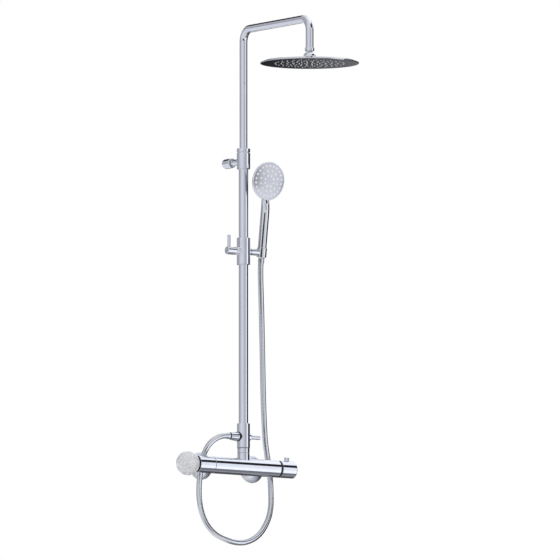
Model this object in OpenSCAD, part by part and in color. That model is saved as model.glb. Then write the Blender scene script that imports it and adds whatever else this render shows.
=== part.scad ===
// Thermostatic shower column: a mixer bar with a diverter and a telescopic riser on it,
// an overhead rain head on a ball joint, and a hand shower on a sliding holder with its hose.
//
// Frame: X along the mixer bar, +Y into the wall, +Z up. The origin is the midpoint between the
// two wall inlets, on the finished wall. Most modules work in the column's own frame, whose
// origin is where the riser's axis meets the mixer bar's axis; at_column() puts them in place.

/* [Wall and inlets] */
// Distance between the two wall inlets
inlet_spacing = 150; // [140:1:160]
// Distance from the finished wall to the axis of the riser and of the bar
wall_gap = 86; // [86:1:110]
// How far the eccentric unions set the inlets above the bar's axis
union_offset = 6; // [0:0.5:8]
// Thread diameter of the tails that screw into the wall inlets
tail_d = 20.96; // [20:0.02:21.6]
// Length of the tails' thread, beyond the finished wall
tail_reach = 15; // [10:1:25]
// Width across flats of the union nuts
union_nut_flats = 30; // [30:0.5:31]
// Diameter of the wall flanges
flange_d = 70; // [56:1:72]
// Depth of the wall flanges
flange_depth = 12; // [8:0.5:14]

/* [Mixer bar] */
// Diameter of the mixer bar and of its handles
bar_d = 43; // [42:0.5:46]
// From the riser's axis to the left end of the valve body
bar_left = 92; // [90:0.5:98]
// From the riser's axis to the right end of the valve body
bar_right = 100; // [96:0.5:106]
// Bore of the two cartridge chambers
chamber_d = 34; // [32:0.5:36]
// Depth of the flow cartridge's chamber
left_chamber = 34; // [30:1:40]
// Depth of the thermostatic cartridge's chamber
right_chamber = 52; // [40:1:56]
// Bore of the waterway between the chambers
waterway_d = 20; // [14:0.5:22]
// Length of the flow handle's sleeve
flow_handle_len = 44.2; // [40:0.2:50]
// Length of the temperature handle
temp_handle_len = 42.4; // [40:0.2:50]
// Wall of the two handles' sleeves
handle_wall = 3; // [2:0.1:4]
// Gap between a fixed piece and the handle that turns beside it
handle_gap = 0.8; // [0.4:0.1:1.5]
// Diameter of the crystal ball knob
knob_d = 61; // [54:0.5:64]
// Diameter of the flat where the ball sits on the handle
knob_seat_d = 28; // [24:0.5:34]
// Diameter of the cartridge spindles and of the knob's stud
spindle_d = 8; // [6:0.1:10]

/* [Safety button] */
// Diameter of the button
button_d = 12.3; // [10:0.1:13]
// Height that the button stands above the handle
button_rise = 9.5; // [6:0.1:12]
// Travel of the button when it is pressed
button_travel = 3; // [1:0.1:3]
// Wire of the button's spring
spring_wire = 0.9; // [0.5:0.1:1.2]

/* [Diverter] */
// Diameter of the diverter's body
diverter_d = 33; // [33:0.5:38]
// Height of the diverter's top above the bar's axis
diverter_top = 110; // [106:0.5:120]
// Height of the outlet and of the diverter's knob above the bar's axis
outlet_z = 76.5; // [72:0.5:80]
// Diameter of the nut and the collar below the diverter
base_d = 31; // [29:0.5:32]
// Height of the underside of the diverter above the bar's axis
diverter_base = 48; // [46:0.5:54]
// Diameter of the diverter's lever pin
lever_d = 10.7; // [8:0.1:12]
// From the riser's axis to the tip of the diverter's lever pin
lever_tip = 47.7; // [40:0.1:48]

/* [Riser] */
// Outer diameter of the fixed riser tube
riser_d = 24; // [24:0.5:26]
// Outer diameter of the sliding overhead tube
arm_d = 20; // [18:0.5:20]
// Wall of the sliding overhead tube
arm_wall = 1.25; // [0.8:0.05:2]
// Wall of the fixed riser tube
riser_wall = 1.5; // [0.8:0.05:1.6]
// Height of the arm's axis above the bar's axis
arm_z = 1113; // [1060:1:1200]
// From the riser's axis to the overhead shower's axis
arm_reach = 325; // [280:1:400]
// Radius of the two bends, at the tube's axis
bend_r = 32; // [24:1:60]
// Length of overhead tube held inside the riser tube
tube_insertion = 223; // [180:1:300]

/* [Wall bracket] */
// Outer diameter of the bracket's sleeve and lock collar
sleeve_d = 34; // [33:0.5:38]
// Height of the bracket's stem above the bar's axis
bracket_z = 779; // [740:1:820]
// Height of the bracket's sleeve
sleeve_h = 40.5; // [36:0.5:50]
// Height of the lock collar
collar_h = 8.5; // [8:0.5:12]
// Diameter of the bracket's stem
stem_d = 15; // [14:0.5:16]
// Diameter of the bracket's wall cover
cover_d = 25; // [25:0.5:30]
// Length of the bracket's wall cover
cover_len = 32; // [28:0.5:34]
// Diameter of the hole for the wall screw
screw_hole_d = 5.4; // [4:0.1:6]

/* [Hand shower holder] */
// Height of the slider's middle above the bar's axis
slider_z = 549; // [540:1:560]
// Height of the slider
slider_h = 68; // [50:1:80]
// From the riser's axis to the axis of the cup
cup_x = 54; // [54:0.5:56]
// Outer diameter of the cup
cup_d = 25.4; // [25.4:0.1:28]
// Height of the cup
cup_h = 24; // [20:0.5:26]
// Width of the slot in the cup
cup_slot = 16.5; // [15:0.5:17]
// Diameter of the lock knob
lock_knob_d = 20; // [16:0.5:22]
// From the riser's axis to the end of the lock knob
lock_knob_end = 50; // [44:0.5:56]
// Diameter of the lock knob's lever pin
lock_lever_d = 8; // [6:0.1:9]
// From the lock knob's axis to the tip of its lever pin
lock_lever_tip = 39.7; // [30:0.1:45]

/* [Hand shower] */
// Forward lean of the hand shower in its cup, in degrees
lean = 9; // [9:0.5:14]
// Diameter of the handle
grip_d = 22; // [20:0.5:23]
// From the cup's middle to the middle of the spray head
grip_len = 182; // [170:1:200]
// Diameter of the spray head
spray_d = 98; // [80:1:100]
// Forward pitch of the spray head on its handle, in degrees
spray_pitch = 1; // [0:0.5:6]
// How far the spray head stands before the handle's axis
spray_forward = 2; // [0:0.5:4]
// Turn of the hand shower in its cup, in degrees
handset_turn = 4; // [0:1:10]
// Depth of the domed back of the spray head
spray_dome = 11; // [8:0.5:16]
// Wall of the hand shower's shell
shell_wall = 2; // [1.5:0.1:2.5]

/* [Hose] */
// Outer diameter of the hose
hose_d = 14; // [12:0.5:14]

/* [Overhead shower] */
// Diameter of the overhead shower
rain_d = 250; // [200:1:300]
// From the arm's axis down to the overhead shower's face
rain_drop = 116.4; // [105:0.1:160]
// Thickness at the rim
rain_rim = 2.6; // [2:0.1:5]
// Width of the bevelled rim
rain_bevel = 9; // [4:0.5:15]
// Height of the bevelled rim
rain_bevel_h = 3.4; // [2:0.1:6]
// Wall of the pan and of the face plate
rain_wall = 1.5; // [1:0.1:2]
// Diameter of the ball of the ball joint
ball_d = 18; // [16:0.5:18]
// Diameter of the ball joint's top nut
ball_nut_d = 24; // [24:0.5:28]

/* [Hidden] */
$fn = 64;

// ---- Clearances and shared small sizes ----
// Radial clearance of a shaft that turns or slides in its bore
running = 0.05;
// Gap between pieces that move past each other without a fit
free_gap = 0.3;
// Extra length of a cutting shape past the face that it cuts
past = 1;
// Diameter of every grub screw
grub_d = 4;

// ---- Mixer bar ----
bar_r = bar_d / 2;
left_chamber_end = bar_left - left_chamber;
right_chamber_start = bar_right - right_chamber;
// Male threads on the valve body: the two inlets and the column's foot
inlet_thread_d = 26.4;
inlet_thread_end = bar_r + 12.5;
inlet_bore = 17;
foot_thread_d = 20;
foot_thread_end = diverter_base - 8;
foot_bore = 13;
cartridge_d = 26;
cartridge_flange = 5;
cartridge_neck_d = 24;
cartridge_neck = 5.5;
spindle_bore_d = spindle_d + 2 * running;
spindle_depth = 22;
spindle_tip_depth = spindle_depth - 2;
port_clearance = 3;
stop_ring_groove = 1.2;
stop_ring_w = 5;

// ---- Unions to the wall ----
washer_t = 2;
washer_d = inlet_thread_d - 2.4;
union_collar_start = inlet_thread_end + washer_t;
union_collar = 3;
union_collar_d = 25.2;
union_collar_end = union_collar_start + union_collar;
union_pipe_d = 20.6;
union_pipe_end = union_collar_end + 19;
union_bore = 13;
union_nut_start = bar_r + 2.5;
union_nut_end = union_collar_end + 3.5;
union_block_d = 30;
union_block_start = union_pipe_end - 6;
union_block_end = union_pipe_end + 3;
flange_start = wall_gap - flange_depth;
flange_wall = 1.2;
tail_shank_d = tail_d - 0.6;
flange_hole_d = tail_d + 0.2;

// ---- Column foot and diverter ----
saddle_end = bar_r + 12.8;
nut_start = saddle_end + free_gap;
nut_end = diverter_base - 1;
foot_washer_t = 1.2;
tail_collar_start = foot_thread_end + foot_washer_t;
tail_collar = 2.7;
tail_collar_d = 24;
tail_collar_end = tail_collar_start + tail_collar;
tail_neck_d = 19.6;
socket_depth = 22;
socket_bottom = diverter_top - socket_depth;
diverter_bore_d = 22;
diverter_bore_end = -6;
knob_collar_start = diverter_d / 2 + 0.8;
knob_collar_d = 20;
knob_collar_w = 6.5;
diverter_spindle_d = 6;
outlet_boss_d = 23;
outlet_boss_end = diverter_d / 2 + 4.5;
outlet_thread_d = 16;
outlet_bore = 10;
outlet_thread_end = outlet_boss_end + 12;
outlet_nut_end = outlet_boss_end + 18;
outlet_nut_tip_d = 19.4;
ferrule_d = 16;
ferrule_end = 49;

// ---- Riser, bracket and gland ----
riser_r = riser_d / 2;
riser_bore_d = riser_d - 2 * riser_wall;
tube_socket_d = riser_d + 2 * running;
sleeve_bottom = bracket_z - sleeve_h / 2;
sleeve_top = bracket_z + sleeve_h / 2;
riser_top = sleeve_top - 1.5;
neck_d = sleeve_d - 6;
neck_top = sleeve_top + 7.5;
collar_start = sleeve_top + 2.5;
collar_top = collar_start + collar_h;
collet_d = arm_d + 4.6;
collet_bottom = sleeve_top + 3.5;
collet_h = 3.6;
collet_top = collet_bottom + collet_h;
stem_spigot_d = 8;
stem_thread_d = 10;
cover_start = wall_gap - cover_len;
cover_wall = 2;
boss_d = cover_d - 2 * cover_wall - 1;
boss_start = cover_start + 10;
boss_floor = wall_gap - 8;
screw_head_room = 4;
stem_thread_end = boss_floor - screw_head_room;
stem_end = cover_start + 6;

// ---- Overhead tube and ball joint ----
arm_bore_d = arm_d - 2 * arm_wall;
tube_end = riser_top - tube_insertion;
bush_len = 20;
seal_groove = 2.4;
ball_r = ball_d / 2;
rain_base = arm_z - rain_drop;
ball_z = rain_base + 21.9;
ball_nut_bottom = ball_z + 9.5;
ball_nut_h = 10;
ball_nut_top = ball_nut_bottom + ball_nut_h;
drop_end = ball_nut_bottom + 2.5;
ball_neck_d = ball_d * 11 / 18;
seat_r = ball_r + 1.5;
cap_cavity_r = seat_r + free_gap;
cap_d = 31.6;
cap_top = ball_z + 6;
cap_thread_d = 26;
rain_hub_top = rain_base + 9.9;
rain_bore = 8;
// Play above the face plate's edge
face_play = 0.1;
cap_bottom = rain_hub_top + 1;
seal_bottom = cap_bottom + 1.5;
seal_top = ball_z - 5.5;

// ---- Slider and holder ----
slider_bush_d = riser_d + 4;
slider_bore_d = riser_d + 2 * running;
slider_r = sleeve_d / 2;
pivot_d = 8;
arm_boss_end = slider_r + 2.3;
pivot_washer_t = 1;
holder_start = arm_boss_end + pivot_washer_t + 0.2;
holder_arm_d = 17;
pivot_end = holder_start + 13.5;
lock_boss_end = slider_r + 6;
lock_lever_x = lock_knob_end - 7.3;
lock_lever_foot = lock_knob_d / 2 - 6;
shoe_d = 10;
shoe_face = slider_bore_d / 2;
shoe_back = shoe_face + 1.9;

// ---- Hand shower, along its own axis from the middle of the cup ----
cup_top = cup_h / 2;
nut_top_r = cup_d / 2 - 1.5;
nut_taper = 1.6;
nut_shoulder = -cup_top - 0.5;
nut_neck_r = hose_d / 2 + 0.9;
nut_tail = nut_shoulder - 13.5;
nut_cap_end = cup_top + 0.6;
hose_end = -6;
fitting_r = 8.2;
fitting_h = 2.5;
handset_washer_bottom = hose_end + fitting_h + 0.1;
handset_washer_t = 1.9;
spigot_bottom = handset_washer_bottom + handset_washer_t;
spigot_r = 8.5;
spigot_bore = 12;
grip_bore = grip_d - 5;
spray_r = spray_d / 2;
// The neck leaves the grip's axis backwards, and its wall is half a millimetre thicker
neck_back = 62;
neck_start = grip_len - neck_back;
neck_len = 40;
neck_pitch = 9;
neck_tip_r = 6;
neck_bore_tip_r = 4;
rim_front = 6;
plate_r = spray_r - 2.7;
plate_t = 2.4;
plate_front = rim_front - 0.4;
mat_t = 1;
mat_front = plate_front - plate_t;
// Rings of the hand shower's nozzles: [radius, how many]
SPRAY_RINGS = [[13.5, 8], [26, 12], [39, 22]];
spray_hole_d = 4;
spray_tip = 1;

// ---- Rain head nozzles: [radius, how many] ----
RAIN_RINGS = [[12, 6], [27, 12], [42, 18], [57, 20], [72, 24], [87, 28]];
rain_hole_d = 3.6;
rain_tip = 0.8;
rain_mat_r = 95;
rain_mat_t = 1;

// ---- Ball knob ----
knob_r = knob_d / 2;
handle_inner_gap = bar_left + handle_gap;
flow_handle_end = handle_inner_gap + flow_handle_len;
knob_x = flow_handle_end + sqrt(knob_r * knob_r - knob_seat_d * knob_seat_d / 4);
stud_end = flow_handle_end + 18;
stud_start = flow_handle_end - 9;
// Rings of round dimples on the ball: [angle from its outer pole, how many]
DIMPLE_RINGS = [[31, 4], [74, 8], [116, 8]];
dimple_r = 25;
dimple_depth = 2.4;
dimple_turn = 10;

// ---- Temperature handle ----
stop_ring_end = bar_right + stop_ring_w;
temp_handle_start = stop_ring_end + handle_gap;
temp_handle_end = temp_handle_start + temp_handle_len;
temp_chamfer = 2.5;
temp_hub_start = temp_handle_start + 13.2;
temp_spindle_end = temp_hub_start + 15;
button_x = temp_hub_start + 8.5;
button_pocket_d = button_d + 0.4;
button_bottom = bar_r - 3.3;
button_floor = button_bottom - button_travel - 0.2;
spring_pocket_d = 9;
spring_floor = 8;
button_stem_d = 5;
button_stem_end = spring_floor + button_travel + 1;
spring_coil_d = 7;

// The hose from the diverter's outlet to the hand shower, in the column's frame
HOSE_ROUTE = [
  [-49, 0, 76.5], [-51, 0, 76.5], [-61.5, 0.6, 75.4], [-72, 1.8, 72], [-81.6, 3.8, 66.6],
  [-89.9, 6.6, 59.6], [-96.8, 10.3, 50.8], [-101.5, 15.2, 40.3], [-104.2, 21.2, 28],
  [-105.6, 27.4, 13], [-106.2, 33.2, -5], [-106.6, 38, -30], [-107, 40.5, -57], [-107, 39, -83],
  [-104.6, 33.5, -113], [-98, 28.5, -137], [-87, 24, -157], [-70, 20, -173.5],
  [-46, 16.5, -184.5], [-18, 15.5, -191], [10, 16, -190.5], [37, 18, -181.5], [60, 21, -166],
  [79, 25.5, -144], [94, 31, -118], [103, 37, -89], [106.5, 42.5, -56], [106, 45, -22],
  [101.5, 44.5, 11], [94, 41.5, 42], [86.5, 37, 74], [81.5, 33, 110], [77.5, 30, 156],
  [74.5, 28, 213], [72, 26, 273], [69, 23.5, 333], [65.5, 20, 390], [61, 15, 438],
  [56.5, 9.8, 482], [54, 5.6, 513.4], [54, 1, 542.8]
];
HOSE_SIDES = 10;

// ---- Helpers ----

// Puts a piece that is drawn in the column's frame in its place before the wall
module at_column() {
  translate([0, -wall_gap, -union_offset]) children();
}

// Lays a piece that is drawn along +Z along +X, starting at x
module along_x(x = 0) {
  translate([x, 0, 0]) rotate([0, 90, 0]) children();
}

// Lays a piece that is drawn along +Z along -X, starting at -x
module along_left(x = 0) {
  translate([-x, 0, 0]) rotate([0, -90, 0]) children();
}

// Lays a piece that is drawn along +Z along +Y, starting at y
module along_y(y = 0) {
  translate([0, y, 0]) rotate([-90, 0, 0]) children();
}

// Puts a piece at both inlets, mirrored so that the pair is alike
module at_inlets() {
  for (side = [-1, 1]) translate([side * inlet_spacing / 2, 0, 0]) children();
}

// A round bar from one height to another
module rod(d, from, to) {
  translate([0, 0, from]) cylinder(d = d, h = to - from);
}

// A tube from one height to another
module pipe(d, bore, from, to) {
  difference() {
    rod(d, from, to);
    rod(bore, from - past, to + past);
  }
}

// The hand shower's own axis: its origin is the middle of the cup
module at_cup() {
  at_column() translate([cup_x, 0, slider_z]) rotate([lean, 0, 0]) children();
}

// The hand shower's own axis, turned in the cup
module at_handset() {
  at_cup() rotate([0, 0, handset_turn]) children();
}

// The spray head's axis: +Z is out of its face
module at_spray_head() {
  at_handset() translate([0, 0, grip_len]) rotate([90 + spray_pitch, 0, 0])
    translate([0, 0, spray_forward]) children();
}

// The column's frame at the middle of the slider
module at_slider() {
  at_column() translate([0, 0, slider_z]) children();
}

// Points on rings: children are placed at every [radius, how many] ring's places
module on_rings(rings) {
  for (ring = rings)
    for (i = [0 : ring[1] - 1])
      rotate([0, 0, (i + 0.5) * 360 / ring[1]]) translate([ring[0], 0, 0]) children();
}

// ---- Mixer bar ----

module valve_body() {
  color("silver") at_column() difference() {
    union() {
      along_x(-bar_left) rod(bar_d, 0, bar_left + bar_right);
      at_inlets() along_y() rod(inlet_thread_d, 0, inlet_thread_end);
      rod(foot_thread_d, 0, foot_thread_end);
    }
    along_left(left_chamber_end) rod(chamber_d, 0, bar_left - left_chamber_end + past);
    along_x(right_chamber_start) rod(chamber_d, 0, bar_right - right_chamber_start + past);
    along_x(-bar_left) rod(waterway_d, 0, bar_left + bar_right);
    at_inlets() along_y() rod(inlet_bore, 0, inlet_thread_end + past);
    rod(foot_bore, 0, foot_thread_end + past);
  }
}

module check_valves() {
  color("gainsboro") at_column() at_inlets() along_y()
    pipe(inlet_bore - 0.2, inlet_bore / 2, bar_r - 3, inlet_thread_end - 2);
}

// The cartridge's own axis is +Z, with 0 at the valve body's end face
module cartridge(depth) {
  difference() {
    union() {
      rod(chamber_d - 0.2, -cartridge_flange, 0);
      rod(cartridge_d, -depth, 0);
      rod(cartridge_neck_d, 0, cartridge_neck);
    }
    rod(spindle_bore_d, -spindle_depth, cartridge_neck + past);
    rod(spindle_bore_d + 2 * port_clearance, -depth - past, -spindle_tip_depth);
    translate([0, 0, -depth / 2]) rotate([90, 0, 0])
      cylinder(d = spindle_d, h = chamber_d, center = true);
  }
}

module flow_cartridge() {
  color("goldenrod") at_column() along_left(bar_left)
    cartridge(left_chamber);
}

module thermostat_cartridge() {
  color("goldenrod") at_column() along_x(bar_right)
    cartridge(right_chamber);
}

module temperature_stop_ring() {
  color("dimgray") at_column() along_x(bar_right) {
    pipe(bar_d - 5, cartridge_neck_d + 0.2, 0, stop_ring_groove);
    pipe(bar_d, cartridge_neck_d + 0.2, stop_ring_groove, stop_ring_w);
  }
}

// ---- Unions, washers and wall flanges ----

module union_nuts() {
  color("silver") at_column() at_inlets() along_y() difference() {
    translate([0, 0, union_nut_start]) rotate([0, 0, 30])
      cylinder(d = union_nut_flats / cos(30), h = union_nut_end - union_nut_start, $fn = 6);
    rod(inlet_thread_d, union_nut_start - past, union_collar_end);
    rod(union_pipe_d + 0.4, union_collar_end - past, union_nut_end + past);
  }
}

module sealing_washers() {
  color("dimgray") at_column() {
    at_inlets() along_y()
      pipe(washer_d, inlet_bore - 2, inlet_thread_end, inlet_thread_end + washer_t);
    pipe(foot_thread_d - 0.4, foot_bore, foot_thread_end, tail_collar_start);
    translate([0, 0, outlet_z]) along_left()
      pipe(outlet_thread_d - 0.2, outlet_bore, outlet_thread_end, outlet_thread_end + washer_t);
  }
}

module s_unions() {
  color("silver") at_column() at_inlets() along_y() difference() {
    union() {
      rod(union_collar_d, union_collar_start, union_collar_end);
      rod(union_pipe_d, union_collar_start, union_pipe_end);
      translate([0, -union_offset / 2, 0])
        rod(union_block_d, union_block_start, union_block_end);
      translate([0, -union_offset, 0]) {
        rod(tail_shank_d, union_block_start, wall_gap);
        rod(tail_d, wall_gap, wall_gap + tail_reach);
      }
    }
    rod(union_bore, union_collar_start - past, union_pipe_end - 1);
    translate([0, -union_offset, 0])
      rod(union_bore, union_block_start + 1, wall_gap + tail_reach + past);
  }
}

// A shallow dome: a ball cut off by the wall, with its middle flattened
module flange_dome(d, depth) {
  dome_r = (d * d / 4 + depth * depth) / (2 * depth);
  intersection() {
    translate([0, 0, dome_r]) sphere(r = dome_r, $fn = 128);
    cylinder(d = d, h = depth);
  }
}

module wall_flanges() {
  color("silver") at_column() at_inlets() translate([0, 0, union_offset])
    along_y(flange_start) difference() {
      flange_dome(flange_d, flange_depth);
      translate([0, 0, flange_wall]) flange_dome(flange_d - 2 * flange_wall, flange_depth);
      rod(flange_hole_d, -past, flange_depth);
    }
}

// ---- Column foot and diverter ----

module saddle_collar() {
  color("silver") at_column() difference() {
    pipe(base_d, foot_thread_d + 0.2, 0, saddle_end);
    along_x(-base_d) rod(bar_d, 0, 2 * base_d);
  }
}

module column_nut() {
  color("silver") at_column() difference() {
    rod(base_d, nut_start, nut_end);
    rod(foot_thread_d + 0.2, nut_start - past, nut_end + past);
    rod(tail_collar_d + 0.4, foot_thread_end - 0.4, tail_collar_end + 0.1);
  }
}

module swivel_seal() {
  color("black") at_column() pipe(base_d + 0.6, tail_neck_d + 0.1, nut_end, diverter_base);
}

module diverter_body() {
  color("silver") at_column() difference() {
    union() {
      rod(tail_collar_d, tail_collar_start, tail_collar_end);
      rod(tail_neck_d, tail_collar_start, diverter_base);
      rod(diverter_d, diverter_base, diverter_top);
      translate([0, 0, outlet_z]) along_left() {
        rod(outlet_boss_d, 0, outlet_boss_end);
        rod(outlet_thread_d, 0, outlet_thread_end);
      }
    }
    rod(foot_bore, tail_collar_start - past, outlet_z);
    rod(foot_bore, outlet_z, socket_bottom + past);
    rod(tube_socket_d, socket_bottom, diverter_top + past);
    translate([0, 0, outlet_z]) {
      along_x(diverter_bore_end) rod(diverter_bore_d, 0, diverter_d);
      along_left() rod(outlet_bore, 0, outlet_thread_end + past);
    }
    translate([0, 0, diverter_top - 8]) along_y() rod(grub_d, 0, diverter_d);
  }
}

// The diverter's cartridge and the bonnet that closes its bore
module diverter_cartridge() {
  color("goldenrod") at_column() translate([0, 0, outlet_z]) along_x() difference() {
    rod(diverter_bore_d - 0.2, diverter_bore_end, knob_collar_start - free_gap);
    rod(diverter_spindle_d + 2 * running, 2, diverter_d);
    rod(12, diverter_bore_end - past, 3);
    translate([0, 0, -2]) rotate([0, 90, 0]) cylinder(d = 7, h = diverter_d, center = true);
  }
}

module diverter_knob() {
  color("silver") at_column() translate([0, 0, outlet_z]) along_x() {
    rod(diverter_spindle_d, 4, knob_collar_start);
    rod(knob_collar_d, knob_collar_start, knob_collar_start + knob_collar_w);
    rod(lever_d, knob_collar_start + knob_collar_w, lever_tip);
  }
}

module hose_outlet_nut() {
  nut_start_x = outlet_boss_end + free_gap;
  color("silver") at_column() translate([0, 0, outlet_z]) along_left() difference() {
    translate([0, 0, nut_start_x])
      cylinder(d1 = outlet_boss_d, d2 = outlet_nut_tip_d, h = outlet_nut_end - nut_start_x);
    rod(outlet_thread_d, nut_start_x - past, outlet_thread_end + washer_t + 2);
    rod(hose_d + 2 * free_gap, nut_start_x, outlet_nut_end + past);
  }
}

module hose_ferrule() {
  flange_from = outlet_thread_end + washer_t;
  color("silver") at_column() translate([0, 0, outlet_z]) along_left() {
    rod(outlet_thread_d - 0.4, flange_from, flange_from + 1.8);
    rod(hose_d, flange_from, outlet_nut_end + 0.8);
    rod(ferrule_d, outlet_nut_end + 0.8, ferrule_end);
  }
}

// ---- Hose ----

function unit(v) = v / norm(v);
function way(points, i) =
  unit(points[min(i + 1, len(points) - 1)] - points[max(i - 1, 0)]);
// Corners of the ring of radius r round a point, square to the way the route runs there
function ring_at(point, dir, r, sides) =
  let (side = unit(cross(dir, [0, 1, 0])), up = cross(side, dir))
  [for (k = [0 : sides - 1]) point + r * (cos(k * 360 / sides) * side + sin(k * 360 / sides) * up)];

module swept_tube(points, r, sides) {
  last = len(points) - 1;
  corners = [for (i = [0 : last]) each ring_at(points[i], way(points, i), r, sides)];
  walls = [
    for (i = [0 : last - 1], k = [0 : sides - 1])
      let (a = i * sides + k, b = i * sides + (k + 1) % sides)
      each [[a, a + sides, b], [b, a + sides, b + sides]]
  ];
  start_cap = [for (k = [0 : sides - 1]) k];
  end_cap = [for (k = [sides - 1 : -1 : 0]) last * sides + k];
  polyhedron(points = corners, faces = concat([start_cap], walls, [end_cap]), convexity = 10);
}

module shower_hose() {
  color("lightgray") at_column() swept_tube(HOSE_ROUTE, hose_d / 2, HOSE_SIDES);
}

// ---- Riser and wall bracket ----

module riser_tube() {
  color("silver") at_column() pipe(riser_d, riser_bore_d, socket_bottom, riser_top);
}

module grub_screws() {
  color("dimgray") at_column() {
    translate([0, 0, diverter_top - 8]) along_y() rod(grub_d, riser_r, diverter_d / 2 - 0.5);
    translate([0, 0, sleeve_bottom + 7]) along_y() rod(grub_d, riser_r, sleeve_d / 2 - 0.5);
    translate([0, wall_gap - 10, bracket_z]) rotate([180, 0, 0])
      rod(grub_d, boss_d / 2, cover_d / 2 - 0.3);
  }
}

module bracket_sleeve() {
  color("silver") at_column() difference() {
    union() {
      rod(sleeve_d, sleeve_bottom, sleeve_top);
      rod(neck_d, sleeve_top, neck_top);
    }
    rod(tube_socket_d, sleeve_bottom - past, riser_top);
    rod(arm_d + 2 * free_gap, riser_top - past, neck_top);
    rod(collet_d + 2 * free_gap, collet_bottom - free_gap, neck_top + past);
    translate([0, 0, bracket_z]) along_y() rod(stem_spigot_d, 0, sleeve_d);
    translate([0, 0, sleeve_bottom + 7]) along_y() rod(grub_d, 0, sleeve_d);
  }
}

module bracket_stem() {
  color("silver") at_column() translate([0, 0, bracket_z]) {
    difference() {
      along_y() rod(stem_d, sleeve_d / 4, stem_end);
      rod(sleeve_d, -stem_d, stem_d);
    }
    along_y() rod(stem_spigot_d, riser_r + 0.5, sleeve_d / 2 + 2);
    along_y() rod(stem_thread_d, stem_end, stem_thread_end);
  }
}

// The cover hides the boss; its front edge is rounded
module bracket_cover() {
  edge = 3;
  color("silver") at_column() translate([0, 0, bracket_z]) along_y() difference() {
    union() {
      rod(cover_d, cover_start + edge, wall_gap);
      rod(cover_d - 2 * edge, cover_start, wall_gap);
      translate([0, 0, cover_start + edge]) rotate_extrude()
        translate([cover_d / 2 - edge, 0]) circle(r = edge);
    }
    rod(stem_d + 0.4, cover_start - past, cover_start + 5);
    rod(cover_d - 2 * cover_wall, cover_start + 4, wall_gap + past);
    translate([0, 0, wall_gap - 10]) rotate([-90, 0, 0]) rod(grub_d, 0, cover_d);
  }
}

module wall_boss() {
  color("gray") at_column() translate([0, 0, bracket_z]) along_y() difference() {
    rod(boss_d, boss_start, wall_gap);
    rod(stem_thread_d, boss_start - past, boss_floor);
    rod(screw_hole_d, boss_floor - past, wall_gap + past);
  }
}

// ---- Flow handle ----

module flow_spindle() {
  color("goldenrod") at_column() along_left(bar_left) rod(spindle_d, -spindle_tip_depth, stud_start - bar_left);
}

module flow_handle() {
  color("silver") at_column() along_left() difference() {
    rod(bar_d, handle_inner_gap, flow_handle_end);
    rod(bar_d - 2 * handle_wall, handle_inner_gap - past, flow_handle_end - 18);
    rod(spindle_d, handle_inner_gap, flow_handle_end + past);
  }
}

// A ball with a flat seat and rings of shallow round dimples
module ball_knob() {
  color("whitesmoke") at_column() along_left() difference() {
    translate([0, 0, knob_x]) sphere(r = knob_r, $fn = 96);
    rod(knob_d, flow_handle_end - knob_d, flow_handle_end);
    rod(spindle_d, flow_handle_end - past, stud_end);
    for (ring = DIMPLE_RINGS)
      for (i = [0 : ring[1] - 1])
        translate([0, 0, knob_x]) rotate([0, 0, dimple_turn - 90 + i * 360 / ring[1]])
          rotate([0, ring[0], 0]) translate([0, 0, knob_r + dimple_r - dimple_depth])
            sphere(r = dimple_r, $fn = 96);
  }
}

module knob_stud() {
  color("goldenrod") at_column() along_left() rod(spindle_d, stud_start, stud_end);
}

// ---- Temperature handle and its safety button ----

module temperature_spindle() {
  color("goldenrod") at_column() along_x(bar_right)
    rod(spindle_d, -spindle_tip_depth, temp_spindle_end - bar_right);
}

module temperature_handle() {
  color("silver") at_column() difference() {
    along_x() {
      rod(bar_d, temp_handle_start, temp_handle_end - temp_chamfer);
      translate([0, 0, temp_handle_end - temp_chamfer])
        cylinder(d1 = bar_d, d2 = bar_d - 2 * temp_chamfer, h = temp_chamfer);
    }
    along_x() rod(bar_d - 2 * handle_wall, temp_handle_start - past, temp_hub_start);
    along_x() rod(spindle_d, temp_handle_start, temp_spindle_end);
    translate([button_x, 0, 0]) {
      rod(button_pocket_d, button_floor, bar_r + past);
      rod(spring_pocket_d, spring_floor, button_floor + past);
    }
  }
}

module safety_button() {
  color("silver") at_column() translate([button_x, 0, 0]) {
    rod(button_d, button_bottom, bar_r + button_rise - 1);
    translate([0, 0, bar_r + button_rise - 1])
      cylinder(d1 = button_d, d2 = button_d - 2, h = 1);
    rod(button_stem_d, button_stem_end, button_bottom);
  }
}

// A coil spring that stands between the pocket's floor and the button
module button_spring() {
  turns = 5;
  steps = 12;
  low = spring_floor + spring_wire / 2;
  high = button_bottom - spring_wire / 2;
  helix = [
    for (i = [0 : turns * steps])
      let (a = i * 360 / steps)
      [spring_coil_d / 2 * cos(a), spring_coil_d / 2 * sin(a), low + (high - low) * i / (turns * steps)]
  ];
  color("gray") at_column() translate([button_x, 0, 0]) coil(helix, spring_wire / 2, 6);
}

// A wire along a helix round the Z axis; its rings stand in the plane that holds the axis
module coil(points, r, sides) {
  last = len(points) - 1;
  corners = [
    for (p = points)
      let (out = unit([p[0], p[1], 0]))
      each [for (k = [0 : sides - 1])
        p + r * (cos(k * 360 / sides) * out + sin(k * 360 / sides) * [0, 0, 1])]
  ];
  walls = [
    for (i = [0 : last - 1], k = [0 : sides - 1])
      let (a = i * sides + k, b = i * sides + (k + 1) % sides)
      each [[a, b, a + sides], [b, b + sides, a + sides]]
  ];
  start_cap = [for (k = [sides - 1 : -1 : 0]) k];
  end_cap = [for (k = [0 : sides - 1]) last * sides + k];
  polyhedron(points = corners, faces = concat([start_cap], walls, [end_cap]), convexity = 10);
}

// ---- Slider, lock knob and holder ----

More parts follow.
